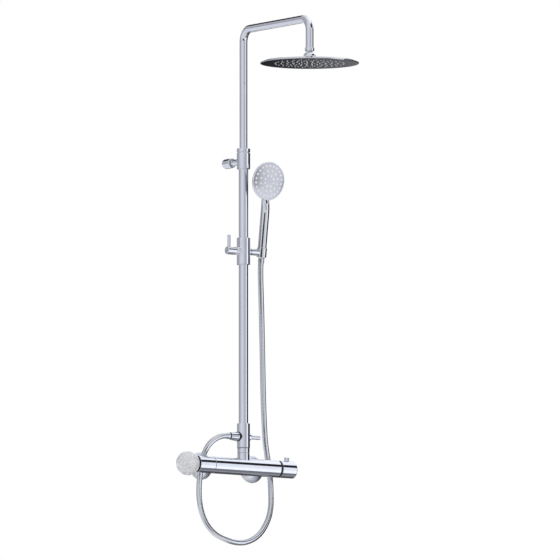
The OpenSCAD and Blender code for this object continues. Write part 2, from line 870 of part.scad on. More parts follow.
module slider_sleeve() {
  color("silver") at_slider() difference() {
    union() {
      rod(sleeve_d, -slider_h / 2, slider_h / 2);
      along_left() translate([0, 0, slider_r - 3])
        cylinder(d1 = lock_knob_d + 4, d2 = lock_knob_d - 1, h = lock_boss_end - slider_r + 3);
      along_x() rod(holder_arm_d, slider_r - 3, arm_boss_end);
    }
    rod(slider_bush_d, -slider_h, slider_h);
    along_left() rod(pivot_d, 0, lock_boss_end + past);
    along_x() rod(pivot_d, 0, arm_boss_end + past);
  }
}

module slider_bush() {
  color("white") at_slider() difference() {
    pipe(slider_bush_d, slider_bore_d, -slider_h / 2 + 0.5, slider_h / 2 - 0.5);
    along_left() rod(shoe_d, 0, slider_bush_d);
  }
}

// A pad that the lock knob's screw presses on the riser, curved with the bush round it
module brake_shoe() {
  color("dimgray") at_slider() intersection() {
    along_left() rod(shoe_d, 0, slider_bush_d);
    pipe(2 * shoe_back, slider_bore_d, -shoe_d, shoe_d);
  }
}

module lock_knob() {
  chamfer = 1;
  color("silver") at_slider() difference() {
    along_left() {
      rod(pivot_d - 2 * running, shoe_back + 0.1, lock_boss_end + free_gap);
      rod(lock_knob_d, lock_boss_end + free_gap, lock_knob_end - chamfer);
      translate([0, 0, lock_knob_end - chamfer])
        cylinder(d1 = lock_knob_d, d2 = lock_knob_d - 2 * chamfer, h = chamfer);
    }
    translate([-lock_lever_x, 0, 0]) rod(lock_lever_d, lock_lever_foot, lock_knob_d);
  }
}

module lock_lever() {
  color("silver") at_slider() translate([-lock_lever_x, 0, 0])
    rod(lock_lever_d, lock_lever_foot, lock_lever_tip);
}

module holder_pivot() {
  color("gray") at_slider() along_x() {
    rod(pivot_d, slider_bush_d / 2, holder_start);
    rod(pivot_d - 2 * running, holder_start, pivot_end);
  }
}

module pivot_washer() {
  color("dimgray") at_slider() along_x()
    pipe(holder_arm_d - 1, pivot_d, arm_boss_end, arm_boss_end + pivot_washer_t);
}

// A conical cup on an arm, with a slot that lets the hose pass
module holder_cup() {
  clear_r = nut_top_r + free_gap;
  color("silver") at_cup() difference() {
    union() {
      rod(cup_d, -cup_top, cup_top);
      translate([holder_start - cup_x, 0, 0]) along_x() rod(holder_arm_d, 0, cup_x - holder_start);
    }
    translate([0, 0, -cup_top]) cylinder(r1 = clear_r - nut_taper, r2 = clear_r, h = cup_h);
    rod(2 * (clear_r - nut_taper), -holder_arm_d, 0);
    rod(2 * clear_r, cup_top - 0.01, holder_arm_d);
    translate([0, -cup_slot / 2, -cup_h]) cube([cup_d, cup_slot, 2 * cup_h]);
    translate([holder_start - cup_x, 0, 0]) along_x()
      rod(pivot_d, -past, pivot_end - holder_start + 0.5);
  }
}

// ---- Hand shower ----

module hose_end_fitting() {
  color("silver") at_cup() pipe(2 * fitting_r, 8, hose_end, hose_end + fitting_h);
}

module cone_nut() {
  shoulder_r = nut_top_r - nut_taper;
  color("silver") at_cup() difference() {
    union() {
      translate([0, 0, nut_shoulder])
        cylinder(r1 = shoulder_r, r2 = nut_top_r, h = nut_cap_end - nut_shoulder);
      translate([0, 0, nut_shoulder - 2]) cylinder(r1 = nut_neck_r, r2 = shoulder_r, h = 2);
      rod(2 * nut_neck_r, nut_tail, nut_shoulder);
    }
    rod(2 * spigot_r, hose_end - 0.1, nut_cap_end + past);
    rod(hose_d + 2 * free_gap, nut_tail - past, 0);
  }
}

module handset_washer() {
  color("dimgray") at_cup()
    pipe(2 * fitting_r, spigot_bore, handset_washer_bottom, spigot_bottom);
}

// The domed back of the spray head, with 0 at the rim's back edge and the face towards +Z
module spray_dome_solid(r, depth, rim) {
  dome_r = (r * r + depth * depth) / (2 * depth);
  intersection() {
    translate([0, 0, dome_r - depth]) sphere(r = dome_r, $fn = 160);
    rod(2 * r, -depth - past, 0);
  }
  rod(2 * r, -0.01, rim);
}

module grip_solid(d) {
  rod(d, nut_cap_end, neck_start);
}

// The tapered neck between the grip and the back of the head
module neck_solid(wide, tip_r) {
  translate([0, 0, neck_start]) {
    sphere(d = wide);
    rotate([-neck_pitch, 0, 0]) cylinder(r1 = wide / 2, r2 = tip_r, h = neck_len);
  }
}

module handset_shell() {
  color("silver") difference() {
    union() {
      at_handset() {
        rod(2 * spigot_r, spigot_bottom, nut_cap_end);
        grip_solid(grip_d);
        neck_solid(grip_d, neck_tip_r);
      }
      at_spray_head() {
        spray_dome_solid(spray_r, spray_dome, rim_front - 1);
        translate([0, 0, rim_front - 1]) cylinder(r1 = spray_r, r2 = spray_r - 1, h = 1);
      }
    }
    at_handset() {
      rod(spigot_bore, spigot_bottom - past, nut_cap_end + past);
      rod(grip_bore, nut_cap_end + 2, neck_start);
      neck_solid(grip_bore, neck_bore_tip_r);
    }
    at_spray_head() {
      spray_dome_solid(spray_r - shell_wall - 1, spray_dome - shell_wall, 1);
      rod(2 * plate_r, mat_front - mat_t, rim_front + past);
      rod(2 * (plate_r - 2), -0.5, rim_front);
    }
  }
}

module spray_plate() {
  color("lightgray") at_spray_head() difference() {
    rod(2 * plate_r, mat_front, plate_front);
    on_rings(SPRAY_RINGS) rod(spray_hole_d, mat_front - past, plate_front + past);
  }
}

// One silicone mat with a nozzle through every hole of the plate
module spray_nozzles() {
  color("white") at_spray_head() {
    rod(2 * plate_r, mat_front - mat_t, mat_front);
    on_rings(SPRAY_RINGS) {
      rod(spray_hole_d, mat_front - mat_t, plate_front);
      translate([0, 0, plate_front])
        cylinder(d1 = spray_hole_d, d2 = spray_hole_d - 1.4, h = spray_tip);
    }
  }
}

// ---- Telescopic overhead tube ----

module lock_collar() {
  color("silver") at_column() difference() {
    rod(sleeve_d, collar_start, collar_top);
    rod(neck_d + 2 * running, collar_start - past, neck_top + free_gap);
    rod(arm_d + 2 * free_gap, collar_start, collar_top + past);
  }
}

module gland_collet() {
  color("white") at_column() pipe(collet_d, arm_d + 2 * running, collet_bottom, collet_top);
}

// A quarter bend of the tube, in the plane x = 0
module quarter_bend() {
  rotate_extrude(angle = 90) translate([bend_r, 0]) difference() {
    circle(d = arm_d);
    circle(d = arm_bore_d);
  }
}

module overhead_tube() {
  color("silver") at_column() {
    pipe(arm_d, arm_bore_d, tube_end, arm_z - bend_r);
    translate([0, -bend_r, arm_z - bend_r]) rotate([90, 0, 90]) quarter_bend();
    translate([0, -arm_reach + bend_r, arm_z]) along_y()
      pipe(arm_d, arm_bore_d, 0, arm_reach - 2 * bend_r);
    translate([0, -arm_reach + bend_r, arm_z - bend_r]) rotate([90, -90, 90]) quarter_bend();
    translate([0, -arm_reach, 0]) pipe(arm_d, arm_bore_d, drop_end, arm_z - bend_r);
  }
}

module guide_bush() {
  color("white") at_column() difference() {
    union() {
      rod(riser_bore_d - 2 * running, tube_end - bush_len, tube_end);
      rod(arm_bore_d, tube_end, tube_end + bush_len / 2);
    }
    rod(arm_bore_d - 4, tube_end - bush_len - past, tube_end + bush_len);
    for (z = seal_places())
      pipe(riser_d, riser_bore_d - 3, z, z + seal_groove);
  }
}

function seal_places() = [tube_end - bush_len + 4, tube_end - bush_len + 11];

module tube_seals() {
  color("dimgray") at_column() for (z = seal_places())
    pipe(riser_bore_d - 2 * running, riser_bore_d - 3, z, z + seal_groove);
}

// ---- Ball joint and overhead shower ----

// The overhead shower's axis, with heights from the bar's axis
module at_drop() {
  at_column() translate([0, -arm_reach, 0]) children();
}

module ball_stud() {
  color("silver") at_drop() difference() {
    union() {
      rod(ball_nut_d, ball_nut_bottom, ball_nut_top - 2.5);
      rod(ball_nut_d - 1.4, ball_nut_bottom, ball_nut_top);
      rod(ball_neck_d, ball_z, ball_nut_bottom);
      translate([0, 0, ball_z]) sphere(r = ball_r);
    }
    rod(arm_d, drop_end, ball_nut_top + past);
    rod(6, ball_z - ball_d, ball_nut_top);
  }
}

// A split ring that the ball turns in, round on both sides so that the cap can tilt on it
module ball_seat() {
  color("white") at_drop() translate([0, 0, ball_z]) intersection() {
    difference() {
      sphere(r = seat_r);
      sphere(r = ball_r + running);
    }
    rod(4 * seat_r, -1.5, 5.6);
  }
}

module ball_cap() {
  dome_bottom = ball_z - 3;
  color("silver") at_drop() difference() {
    union() {
      translate([0, 0, dome_bottom])
        cylinder(d1 = cap_d, d2 = 21, h = cap_top - dome_bottom);
      rod(cap_d, cap_bottom, dome_bottom);
    }
    translate([0, 0, ball_z]) sphere(r = cap_cavity_r);
    rod(cap_thread_d, cap_bottom - past, ball_z - 2.5);
  }
}

module ball_seal() {
  color("dimgray") at_drop() difference() {
    rod(cap_thread_d - 1, seal_bottom, seal_top);
    translate([0, 0, ball_z]) sphere(r = ball_r + free_gap);
    rod(rain_bore, seal_bottom - past, seal_top);
  }
}

// Half the section of the overhead shower's pan: a bevelled rim and a top that rises to the hub
module pan_outline() {
  polygon([
    [0, 0], [rain_d / 2, 0], [rain_d / 2, rain_rim],
    [rain_d / 2 - rain_bevel, rain_rim + rain_bevel_h],
    [cap_d / 2 + 2, rain_hub_top - rain_base], [0, rain_hub_top - rain_base]
  ]);
}

// Half the section of the space in the pan, which takes the face plate
module pan_cavity() {
  inner_r = rain_d / 2 - rain_wall;
  hub = rain_hub_top - rain_base - rain_wall;
  polygon([
    [0, -past], [inner_r, -past], [inner_r, rain_wall + face_play],
    [inner_r - rain_bevel, rain_rim + rain_bevel_h - rain_wall],
    [cap_d / 2 + 2, hub], [0, hub]
  ]);
}

module rain_pan() {
  color("silver") at_drop() difference() {
    union() {
      translate([0, 0, rain_base]) rotate_extrude($fn = 180) pan_outline();
      rod(cap_thread_d, rain_hub_top - rain_wall, seal_bottom);
      rod(cap_d, rain_hub_top - rain_wall, cap_bottom);
    }
    translate([0, 0, rain_base]) rotate_extrude($fn = 180) pan_cavity();
    rod(rain_bore, rain_base, seal_bottom + past);
  }
}

module rain_face() {
  color("dimgray") at_drop() difference() {
    rod(rain_d - 2 * rain_wall, rain_base, rain_base + rain_wall, $fn = 180);
    translate([0, 0, rain_base]) on_rings(RAIN_RINGS) rod(rain_hole_d, -past, rain_wall + past);
  }
}

// One silicone mat with a nozzle through every hole of the face plate
module rain_nozzle_mat() {
  color("white") at_drop() translate([0, 0, rain_base]) {
    rod(2 * rain_mat_r, rain_wall, rain_wall + rain_mat_t);
    on_rings(RAIN_RINGS) {
      rod(rain_hole_d, 0, rain_wall + rain_mat_t);
      translate([0, 0, -rain_tip])
        cylinder(d1 = rain_hole_d - 1.2, d2 = rain_hole_d, h = rain_tip);
    }
  }
}

valve_body();
check_valves();
flow_cartridge();
thermostat_cartridge();
temperature_stop_ring();
union_nuts();
sealing_washers();
s_unions();
wall_flanges();
saddle_collar();
column_nut();
swivel_seal();
diverter_body();
diverter_cartridge();
hose_outlet_nut();
hose_ferrule();
shower_hose();
riser_tube();
grub_screws();
bracket_sleeve();
bracket_stem();
bracket_cover();
wall_boss();
flow_spindle();
flow_handle();
ball_knob();
knob_stud();
temperature_spindle();
temperature_handle();
safety_button();
button_spring();
diverter_knob();
slider_sleeve();
slider_bush();
brake_shoe();
holder_pivot();
pivot_washer();
lock_knob();
lock_lever();
holder_cup();
hose_end_fitting();
cone_nut();
handset_washer();
handset_shell();
spray_plate();
spray_nozzles();
lock_collar();
gland_collet();
overhead_tube();
guide_bush();
tube_seals();
ball_stud();
ball_seat();
ball_cap();
ball_seal();
rain_pan();
rain_face();
rain_nozzle_mat();
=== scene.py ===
import math

import bmesh
import bpy
from mathutils import Matrix, Vector


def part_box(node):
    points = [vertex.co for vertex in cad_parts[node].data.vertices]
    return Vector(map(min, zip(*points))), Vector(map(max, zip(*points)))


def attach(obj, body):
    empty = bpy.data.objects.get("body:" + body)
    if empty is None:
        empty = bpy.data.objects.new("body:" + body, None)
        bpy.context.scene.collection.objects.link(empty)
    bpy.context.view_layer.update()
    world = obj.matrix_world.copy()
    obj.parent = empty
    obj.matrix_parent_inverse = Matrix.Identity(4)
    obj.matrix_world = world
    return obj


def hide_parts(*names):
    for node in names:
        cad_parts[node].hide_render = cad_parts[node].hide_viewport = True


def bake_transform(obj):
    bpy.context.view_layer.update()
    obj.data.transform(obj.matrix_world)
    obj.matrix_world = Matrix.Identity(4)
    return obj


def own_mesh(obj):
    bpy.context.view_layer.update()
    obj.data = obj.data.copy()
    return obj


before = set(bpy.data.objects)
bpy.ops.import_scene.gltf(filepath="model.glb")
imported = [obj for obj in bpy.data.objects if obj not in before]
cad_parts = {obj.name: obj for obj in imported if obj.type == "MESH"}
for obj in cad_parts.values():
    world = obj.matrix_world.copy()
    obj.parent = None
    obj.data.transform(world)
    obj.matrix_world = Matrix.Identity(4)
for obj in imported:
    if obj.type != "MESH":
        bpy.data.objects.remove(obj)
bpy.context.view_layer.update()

# The whole column, seen from its left and from slightly below, in parallel projection,
# as such a set is shown in a catalogue.
riser_low, riser_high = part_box("riser_tube")
handle_low, handle_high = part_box("flow_handle")
bar_axis = (handle_low + handle_high) / 2
riser_axis = (riser_low + riser_high) / 2
column_foot = Vector((riser_axis.x, riser_axis.y, bar_axis.z))
view_turn = math.radians(31)
view_rise = math.radians(6.3)
view_width = 1.4177
view_distance = 4.0
middle_right = 0.0925
middle_up = 0.4732
look = Vector((
    math.sin(view_turn) * math.cos(view_rise), math.cos(view_turn) * math.cos(view_rise), math.sin(view_rise),
))
view_right = look.cross(Vector((0, 0, 1))).normalized()
view_up = view_right.cross(look)
view_middle = column_foot + middle_right * view_right + middle_up * view_up
camera_data = bpy.data.cameras.new("catalogue_camera")
camera_data.type = "ORTHO"
camera_data.ortho_scale = view_width
camera_data.clip_end = 20
camera = bpy.data.objects.new("catalogue_camera", camera_data)
camera.location = view_middle - view_distance * look
camera.rotation_euler = look.to_track_quat("-Z", "Y").to_euler()
bpy.context.scene.collection.objects.link(camera)
bpy.context.scene.camera = camera
bpy.context.scene.view_settings.view_transform = "Standard"

# The studio: a white surround for the camera, and for polished metal a pale room
# with darker walls at its sides, which draw the stripes that chrome shows.
world = bpy.data.worlds.new("studio")
bpy.context.scene.world = world
world.use_nodes = True
nodes = world.node_tree.nodes
links = world.node_tree.links
nodes.clear()
room_light = nodes.new("ShaderNodeBackground")
room_light.inputs["Color"].default_value = (0.95, 0.97, 1.0, 1)
room_light.inputs["Strength"].default_value = 0.87
white_surround = nodes.new("ShaderNodeBackground")
white_surround.inputs["Color"].default_value = (1, 1, 1, 1)
white_surround.inputs["Strength"].default_value = 1.0
ray_kind = nodes.new("ShaderNodeLightPath")
camera_mix = nodes.new("ShaderNodeMixShader")
world_output = nodes.new("ShaderNodeOutputWorld")
seen = nodes.new("ShaderNodeMath")
seen.operation = "MAXIMUM"
seen_all = nodes.new("ShaderNodeMath")
seen_all.operation = "MAXIMUM"
links.new(ray_kind.outputs["Is Camera Ray"], seen.inputs[0])
links.new(ray_kind.outputs["Is Glossy Ray"], seen.inputs[1])
links.new(seen.outputs["Value"], seen_all.inputs[0])
links.new(ray_kind.outputs["Is Transmission Ray"], seen_all.inputs[1])
links.new(seen_all.outputs["Value"], camera_mix.inputs["Fac"])
links.new(room_light.outputs["Background"], camera_mix.inputs[1])
links.new(white_surround.outputs["Background"], camera_mix.inputs[2])
links.new(camera_mix.outputs["Shader"], world_output.inputs["Surface"])

# The shower hose: a flexible tube of interlocked steel rings, crimped into the diverter's
# ferrule below and into the hand shower's nut above. It hangs in one long loop.
hose_route = [
    (-49, 0, 76.5), (-51, 0, 76.5), (-61.5, 0.6, 75.4), (-72, 1.8, 72), (-81.6, 3.8, 66.6),
    (-89.9, 6.6, 59.6), (-96.8, 10.3, 50.8), (-101.5, 15.2, 40.3), (-104.2, 21.2, 28),
    (-105.6, 27.4, 13), (-106.2, 33.2, -5), (-106.6, 38, -30), (-107, 40.5, -57),
    (-107, 39, -83), (-104.6, 33.5, -113), (-98, 28.5, -137), (-87, 24, -157), (-70, 20, -173.5),
    (-46, 16.5, -184.5), (-18, 15.5, -191), (10, 16, -190.5), (37, 18, -181.5), (60, 21, -166),
    (79, 25.5, -144), (94, 31, -118), (103, 37, -89), (106.5, 42.5, -56), (106, 45, -22),
    (101.5, 44.5, 11), (94, 41.5, 42), (86.5, 37, 74), (81.5, 33, 110), (77.5, 30, 156),
    (74.5, 28, 213), (72, 26, 273), (69, 23.5, 333), (65.5, 20, 390), (61, 15, 438),
    (56.5, 9.8, 482), (54, 5.6, 513.4), (54, 1, 542.8),
]
hose_points = [column_foot + Vector(p) / 1000 for p in hose_route]
hose_radius = 0.007
rib_pitch = 0.0036
rib_depth = 0.0001
rib_profile = ((0.0, 1.0), (0.08, 0.2), (0.14, 0.0), (0.86, 0.0), (0.92, 0.2))
hose_sides = 20
path_steps = 60
rounding = 1e-6
least_step = 1e-5


def smooth_course(points, steps=24):
    """Points along a smooth curve through the route, closely spaced."""
    course = []
    for i in range(len(points) - 1):
        before = points[max(i - 1, 0)]
        a, b = points[i], points[i + 1]
        after = points[min(i + 2, len(points) - 1)]
        span = (b - a).length
        leave = (b - before).normalized() * span
        arrive = (after - a).normalized() * span
        for k in range(steps):
            t = k / steps
            course.append(
                a * (2 * t**3 - 3 * t**2 + 1) + leave * (t**3 - 2 * t**2 + t)
                + b * (3 * t**2 - 2 * t**3) + arrive * (t**3 - t**2)
            )
    course.append(points[-1].copy())
    return course


def course_lengths(course):
    """The distance along the course at each of its points."""
    lengths = [0.0]
    for a, b in zip(course, course[1:]):
        lengths.append(lengths[-1] + (b - a).length)
    return lengths


hose_course = smooth_course(hose_points)
hose_lengths = course_lengths(hose_course)
hose_length = hose_lengths[-1]


def hose_place(distance):
    """The point and the direction of the hose at a distance from its ferrule."""
    distance = min(max(distance, 0.0), hose_length)
    low, high = 0, len(hose_lengths) - 1
    while high - low > 1:
        middle = (low + high) // 2
        if hose_lengths[middle] <= distance:
            low = middle
        else:
            high = middle
    share = (distance - hose_lengths[low]) / (hose_lengths[high] - hose_lengths[low])
    ahead = (hose_course[high] - hose_course[low]).normalized()
    return hose_course[low].lerp(hose_course[high], share), ahead


def hose_stretch(name, start, end):
    """A stretch of ribbed tube between two distances along the hose."""
    rings = []
    first_rib = math.ceil(start / rib_pitch - rounding)
    last_rib = math.floor(end / rib_pitch + rounding)
    for rib in range(first_rib, last_rib):
        for share, depth in rib_profile:
            rings.append(((rib + share) * rib_pitch, depth))
    rings.append((last_rib * rib_pitch, 1.0))
    if end - last_rib * rib_pitch > least_step:
        rings.append((end, 0.0))
    mesh_maker = bmesh.new()
    # Each vertex keeps how deep in a groove it lies; the hose's material turns this into painted shade.
    groove_shade = mesh_maker.verts.layers.float.new("groove_shade")
    side = Vector((0, 0, 1))
    loops = []
    for distance, depth in rings:
        point, ahead = hose_place(distance)
        side = (side - side.dot(ahead) * ahead).normalized()
        across = ahead.cross(side)
        loop = []
        for k in range(hose_sides):
            angle = 2 * math.pi * k / hose_sides
            radius = hose_radius - depth * rib_depth
            vert = mesh_maker.verts.new(point + radius * (math.cos(angle) * side + math.sin(angle) * across))
            vert[groove_shade] = depth
            loop.append(vert)
        loops.append(loop)
    for a, b in zip(loops, loops[1:]):
        for k in range(hose_sides):
            j = (k + 1) % hose_sides
            mesh_maker.faces.new((a[k], a[j], b[j], b[k]))
    mesh_maker.faces.new(list(reversed(loops[0])))
    mesh_maker.faces.new(loops[-1])
    bmesh.ops.recalc_face_normals(mesh_maker, faces=mesh_maker.faces)
    for face in mesh_maker.faces:
        face.smooth = len(face.verts) == 4
    mesh = bpy.data.meshes.new(name)
    mesh_maker.to_mesh(mesh)
    mesh_maker.free()
    piece = bpy.data.objects.new(name, mesh)
    bpy.context.scene.collection.objects.link(piece)
    path = [hose_place(start + (end - start) * i / path_steps)[0] for i in range(path_steps + 1)]
    return piece, path


def rib_at_height(height, side):
    """The distance of the rib nearest to a height on the loop's left (-1) or right (1) leg."""
    leg = [
        (abs(point.z - column_foot.z - height), distance)
        for point, distance in zip(hose_course, hose_lengths) if (point.x - column_foot.x) * side > 0
    ]
    return rib_pitch * round(min(leg)[1] / rib_pitch)


# The loop is made in five stretches: the left leg, which hangs from the fixed ferrule, the bottom, the right
# leg, and two short stretches at the holder and at the hand shower.
left_end_height = -0.097
right_start_height = -0.083
holder_ribs = 58
handset_ribs = 32
last_rib_end = rib_pitch * math.floor(hose_length / rib_pitch)
left_end = rib_at_height(left_end_height, -1)
right_start = rib_at_height(right_start_height, 1)
holder_start = last_rib_end - holder_ribs * rib_pitch
handset_start = last_rib_end - handset_ribs * rib_pitch
left_hose, left_path = hose_stretch("left_hose", 0.0, left_end)
bottom_hose, bottom_path = hose_stretch("bottom_hose", left_end, right_start)
right_hose, right_path = hose_stretch("right_hose", right_start, holder_start)
holder_hose, holder_path = hose_stretch("holder_hose", holder_start, handset_start)
handset_hose, handset_path = hose_stretch("handset_hose", handset_start, hose_length)
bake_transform(left_hose)
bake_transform(bottom_hose)
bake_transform(right_hose)
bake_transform(holder_hose)
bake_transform(handset_hose)
hose_stretches = (
    (left_hose, left_path), (bottom_hose, bottom_path), (right_hose, right_path), (holder_hose, holder_path),
    (handset_hose, handset_path),
)
for stretch, path in hose_stretches:
    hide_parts("shower_hose")


def ribbed_steel():
    """Steel strip wound into a hose, with painted shade in its grooves: they are coloured darker than its
    ribs.
    """
    material = bpy.data.materials.new("ribbed_steel")
    material.use_nodes = True
    nodes = material.node_tree.nodes
    links = material.node_tree.links
    shader = nodes["Principled BSDF"]
    shader.inputs["Metallic"].default_value = 1.0
    groove_shade = nodes.new("ShaderNodeAttribute")
    groove_shade.attribute_name = "groove_shade"
    # Painted shade: the deeper in a groove, the darker the steel's colour.
    depth = nodes.new("ShaderNodeValToRGB")
    depth.color_ramp.elements[0].position = 0.0
    depth.color_ramp.elements[0].color = (0.60, 0.615, 0.65, 1)
    depth.color_ramp.elements[1].position = 0.9
    depth.color_ramp.elements[1].color = (0.40, 0.41, 0.44, 1)
    place = nodes.new("ShaderNodeTexCoord")
    cloud = nodes.new("ShaderNodeTexNoise")
    cloud.inputs["Scale"].default_value = 90.0
    cloud.inputs["Detail"].default_value = 3.0
    polish = nodes.new("ShaderNodeMapRange")
    polish.inputs["To Min"].default_value = 0.08
    polish.inputs["To Max"].default_value = 0.14
    links.new(groove_shade.outputs["Fac"], depth.inputs["Fac"])
    links.new(depth.outputs["Color"], shader.inputs["Base Color"])
    links.new(place.outputs["Object"], cloud.inputs["Vector"])
    links.new(cloud.outputs["Fac"], polish.inputs["Value"])
    links.new(polish.outputs["Result"], shader.inputs["Roughness"])
    return material


hose_steel = ribbed_steel()
for stretch, path in hose_stretches:
    stretch.data.materials.append(hose_steel)


# The wall flanges: two domed steel discs, pressed, polished and chromed, that hide the holes
# in the wall. Each has a round hole in its middle for the tail of its union.
up = (0, 0, 1)
to_left = (-1, 0, 0)
to_right = (1, 0, 0)
to_wall = (0, 1, 0)
bevel_angle = math.radians(28)
crease_angle = math.radians(50)


def at(x, y, z):
    """A place given in millimetres from where the riser meets the bar."""
    return column_foot + Vector((x, y, z)) / 1000


def axis_at(foot, along):
    """Stands a turned piece on its foot, with its axis along a direction."""
    lean = Vector(up).rotation_difference(Vector(along)).to_matrix().to_4x4()
    return Matrix.Translation(at(*foot)) @ lean


def turn(shape, section, place, sides=64, edge=0.4, ring=False):
    """Turns a section of (distance along the axis, radius) in millimetres, eases its edges by
    so many millimetres and adds it. The section of a ring doesn't touch the axis."""
    lathe = bmesh.new()
    verts = [lathe.verts.new((radius / 1000, 0, distance / 1000)) for distance, radius in section]
    edges = [lathe.edges.new(pair) for pair in zip(verts, verts[1:])]
    if ring:
        edges.append(lathe.edges.new((verts[-1], verts[0])))
    bmesh.ops.spin(
        lathe, geom=verts + edges, cent=(0, 0, 0), axis=up, angle=2 * math.pi, steps=sides, use_merge=True
    )
    bmesh.ops.remove_doubles(lathe, verts=lathe.verts, dist=rounding)
    bmesh.ops.recalc_face_normals(lathe, faces=lathe.faces)
    if edge:
        sharp = [e for e in lathe.edges if e.is_manifold and e.calc_face_angle() > bevel_angle]
        ease_edges(lathe, sharp, edge)
    add_to(shape, lathe, place)


def ease_edges(shape, edges, width):
    """Rounds edges over by a width in millimetres."""
    bmesh.ops.bevel(
        shape, geom=edges, offset=width / 1000, offset_type="OFFSET", segments=2, profile=0.5,
        affect="EDGES", material=-1,
    )


def rod(start, end, radius):
    """The section of a plain rod."""
    return [(start, 0), (start, radius), (end, radius), (end, 0)]


def pipe(start, end, bore_radius, radius):
    """The section of a plain pipe, which is turned as a ring."""
    return [(start, bore_radius), (start, radius), (end, radius), (end, bore_radius)]


def add_to(shape, other, place=None):
    """Adds one mesh in the making to another, in its place."""
    if place is not None:
        bmesh.ops.transform(other, matrix=place, verts=other.verts)
    blank = bpy.data.meshes.new("blank")
    other.to_mesh(blank)
    other.free()
    shape.from_mesh(blank)
    bpy.data.meshes.remove(blank)


def piece(name, shape, material, body, slot, *nodes):
    """Makes the finished piece, sets it on its body and lets it stand for its solids."""
    for face in shape.faces:
        face.smooth = True
    for edge in shape.edges:
        edge.smooth = not (edge.is_manifold and edge.calc_face_angle() > crease_angle)
    mesh = bpy.data.meshes.new(name)
    shape.to_mesh(mesh)
    shape.free()
    made = bpy.data.objects.new(name, mesh)
    bpy.context.scene.collection.objects.link(made)
    made.data.materials.append(material)
    made.modifiers.new("even_shading", "WEIGHTED_NORMAL").keep_sharp = True
    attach(made, body)
    if nodes:
        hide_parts(*nodes)
    return made


def surface(name, dark, light, gloss, metal=0.0, grain=40.0, bump=0.0, stretch=(1, 1, 1)):
    """A finish whose tint and gloss wander a little from place to place, as on a real surface."""
    material = bpy.data.materials.new(name)
    material.use_nodes = True
    nodes = material.node_tree.nodes
    links = material.node_tree.links
    shader = nodes["Principled BSDF"]
    shader.inputs["Metallic"].default_value = metal
    place = nodes.new("ShaderNodeTexCoord")
    lay = nodes.new("ShaderNodeMapping")
    lay.inputs["Scale"].default_value = stretch
    cloud = nodes.new("ShaderNodeTexNoise")
    cloud.inputs["Scale"].default_value = grain
    cloud.inputs["Detail"].default_value = 4.0
    tint = nodes.new("ShaderNodeValToRGB")
    tint.color_ramp.elements[0].position = 0.3
    tint.color_ramp.elements[0].color = (*dark, 1)
    tint.color_ramp.elements[1].position = 0.7
    tint.color_ramp.elements[1].color = (*light, 1)
    polish = nodes.new("ShaderNodeMapRange")
    polish.inputs["To Min"].default_value = gloss[0]
    polish.inputs["To Max"].default_value = gloss[1]
    links.new(place.outputs["Object"], lay.inputs["Vector"])
    links.new(lay.outputs["Vector"], cloud.inputs["Vector"])
    links.new(cloud.outputs["Fac"], tint.inputs["Fac"])
    links.new(cloud.outputs["Fac"], polish.inputs["Value"])
    links.new(tint.outputs["Color"], shader.inputs["Base Color"])
    links.new(polish.outputs["Result"], shader.inputs["Roughness"])
    if bump:
        relief = nodes.new("ShaderNodeBump")
        relief.inputs["Strength"].default_value = bump
        relief.inputs["Distance"].default_value = 0.0002
        links.new(cloud.outputs["Fac"], relief.inputs["Height"])
        links.new(relief.outputs["Normal"], shader.inputs["Normal"])
    return material


inlet_x = 75
wall_y = 86
tail_rise = 6
flange_r = 35
flange_depth = 12
flange_wall = 1.2
flange_hole_r = 10.6
flange_rings = 12
rim_ease = 0.5
satin_chrome = surface(
    "satin_chrome", (0.62, 0.635, 0.675), (0.67, 0.685, 0.725), (0.34, 0.42), metal=1.0, grain=50.0
)
dome_r = (flange_r**2 + flange_depth**2) / (2 * flange_depth)
reaches = [flange_hole_r + (flange_r - flange_hole_r) * i / flange_rings for i in range(flange_rings + 1)]
outer = [(dome_r - math.sqrt(dome_r**2 - r**2), r) for r in reaches]
inner = [(distance + flange_wall, min(r, flange_r - flange_wall)) for distance, r in outer]
inner[-1] = (flange_depth, flange_r - flange_wall)
inner[-2] = (inner[-2][0], inner[-2][1] - rim_ease)
shape = bmesh.new()
for side in (-inlet_x, inlet_x):
    flange_place = axis_at((side, wall_y - flange_depth, tail_rise), to_wall)
    turn(shape, outer + inner[::-1], flange_place, sides=96, edge=0.3, ring=True)
piece("chromed_wall_flanges", shape, satin_chrome, "column", "chrome", "wall_flanges")

# The eccentric unions: brass castings, chromed, screwed into the wall's inlets. Their two
# ends are 6 mm out of line, so that the bar can be set level on them.
union_r = 10.3
union_collar_r = 12.6
crank_r = 15
tail_r = 10.18
tail_end = wall_y + 15
thread_r = 10.45
thread_root_r = 9.7
thread_pitch = 1.8
thread_turns = 8
thread_lead = 0.6
chrome = surface("chrome", (0.60, 0.615, 0.655), (0.645, 0.66, 0.70), (0.03, 0.07), metal=1.0, grain=55.0)
front_end = [(36, 0), (36, union_collar_r), (39, union_collar_r), (39, union_r), (58, union_r), (58, 0)]
tail = [(54, 0), (54, tail_r), (wall_y, tail_r)]
for i in range(thread_turns):
    crest = wall_y + thread_lead + thread_pitch * i
    tail += [(crest, thread_r), (crest + thread_pitch / 2, thread_root_r)]
tail += [(tail_end - thread_lead, union_r), (tail_end, 9.6), (tail_end, 0)]
shape = bmesh.new()
for side in (-inlet_x, inlet_x):
    turn(shape, front_end, axis_at((side, 0, 0), to_wall))
    crank_place = axis_at((side, 0, tail_rise / 2), to_wall)
    turn(shape, rod(52, 61, crank_r), crank_place, edge=1.2)
    turn(shape, tail, axis_at((side, 0, tail_rise), to_wall), sides=48, edge=0)
piece("chromed_unions", shape, chrome, "column", "chrome", "s_unions")

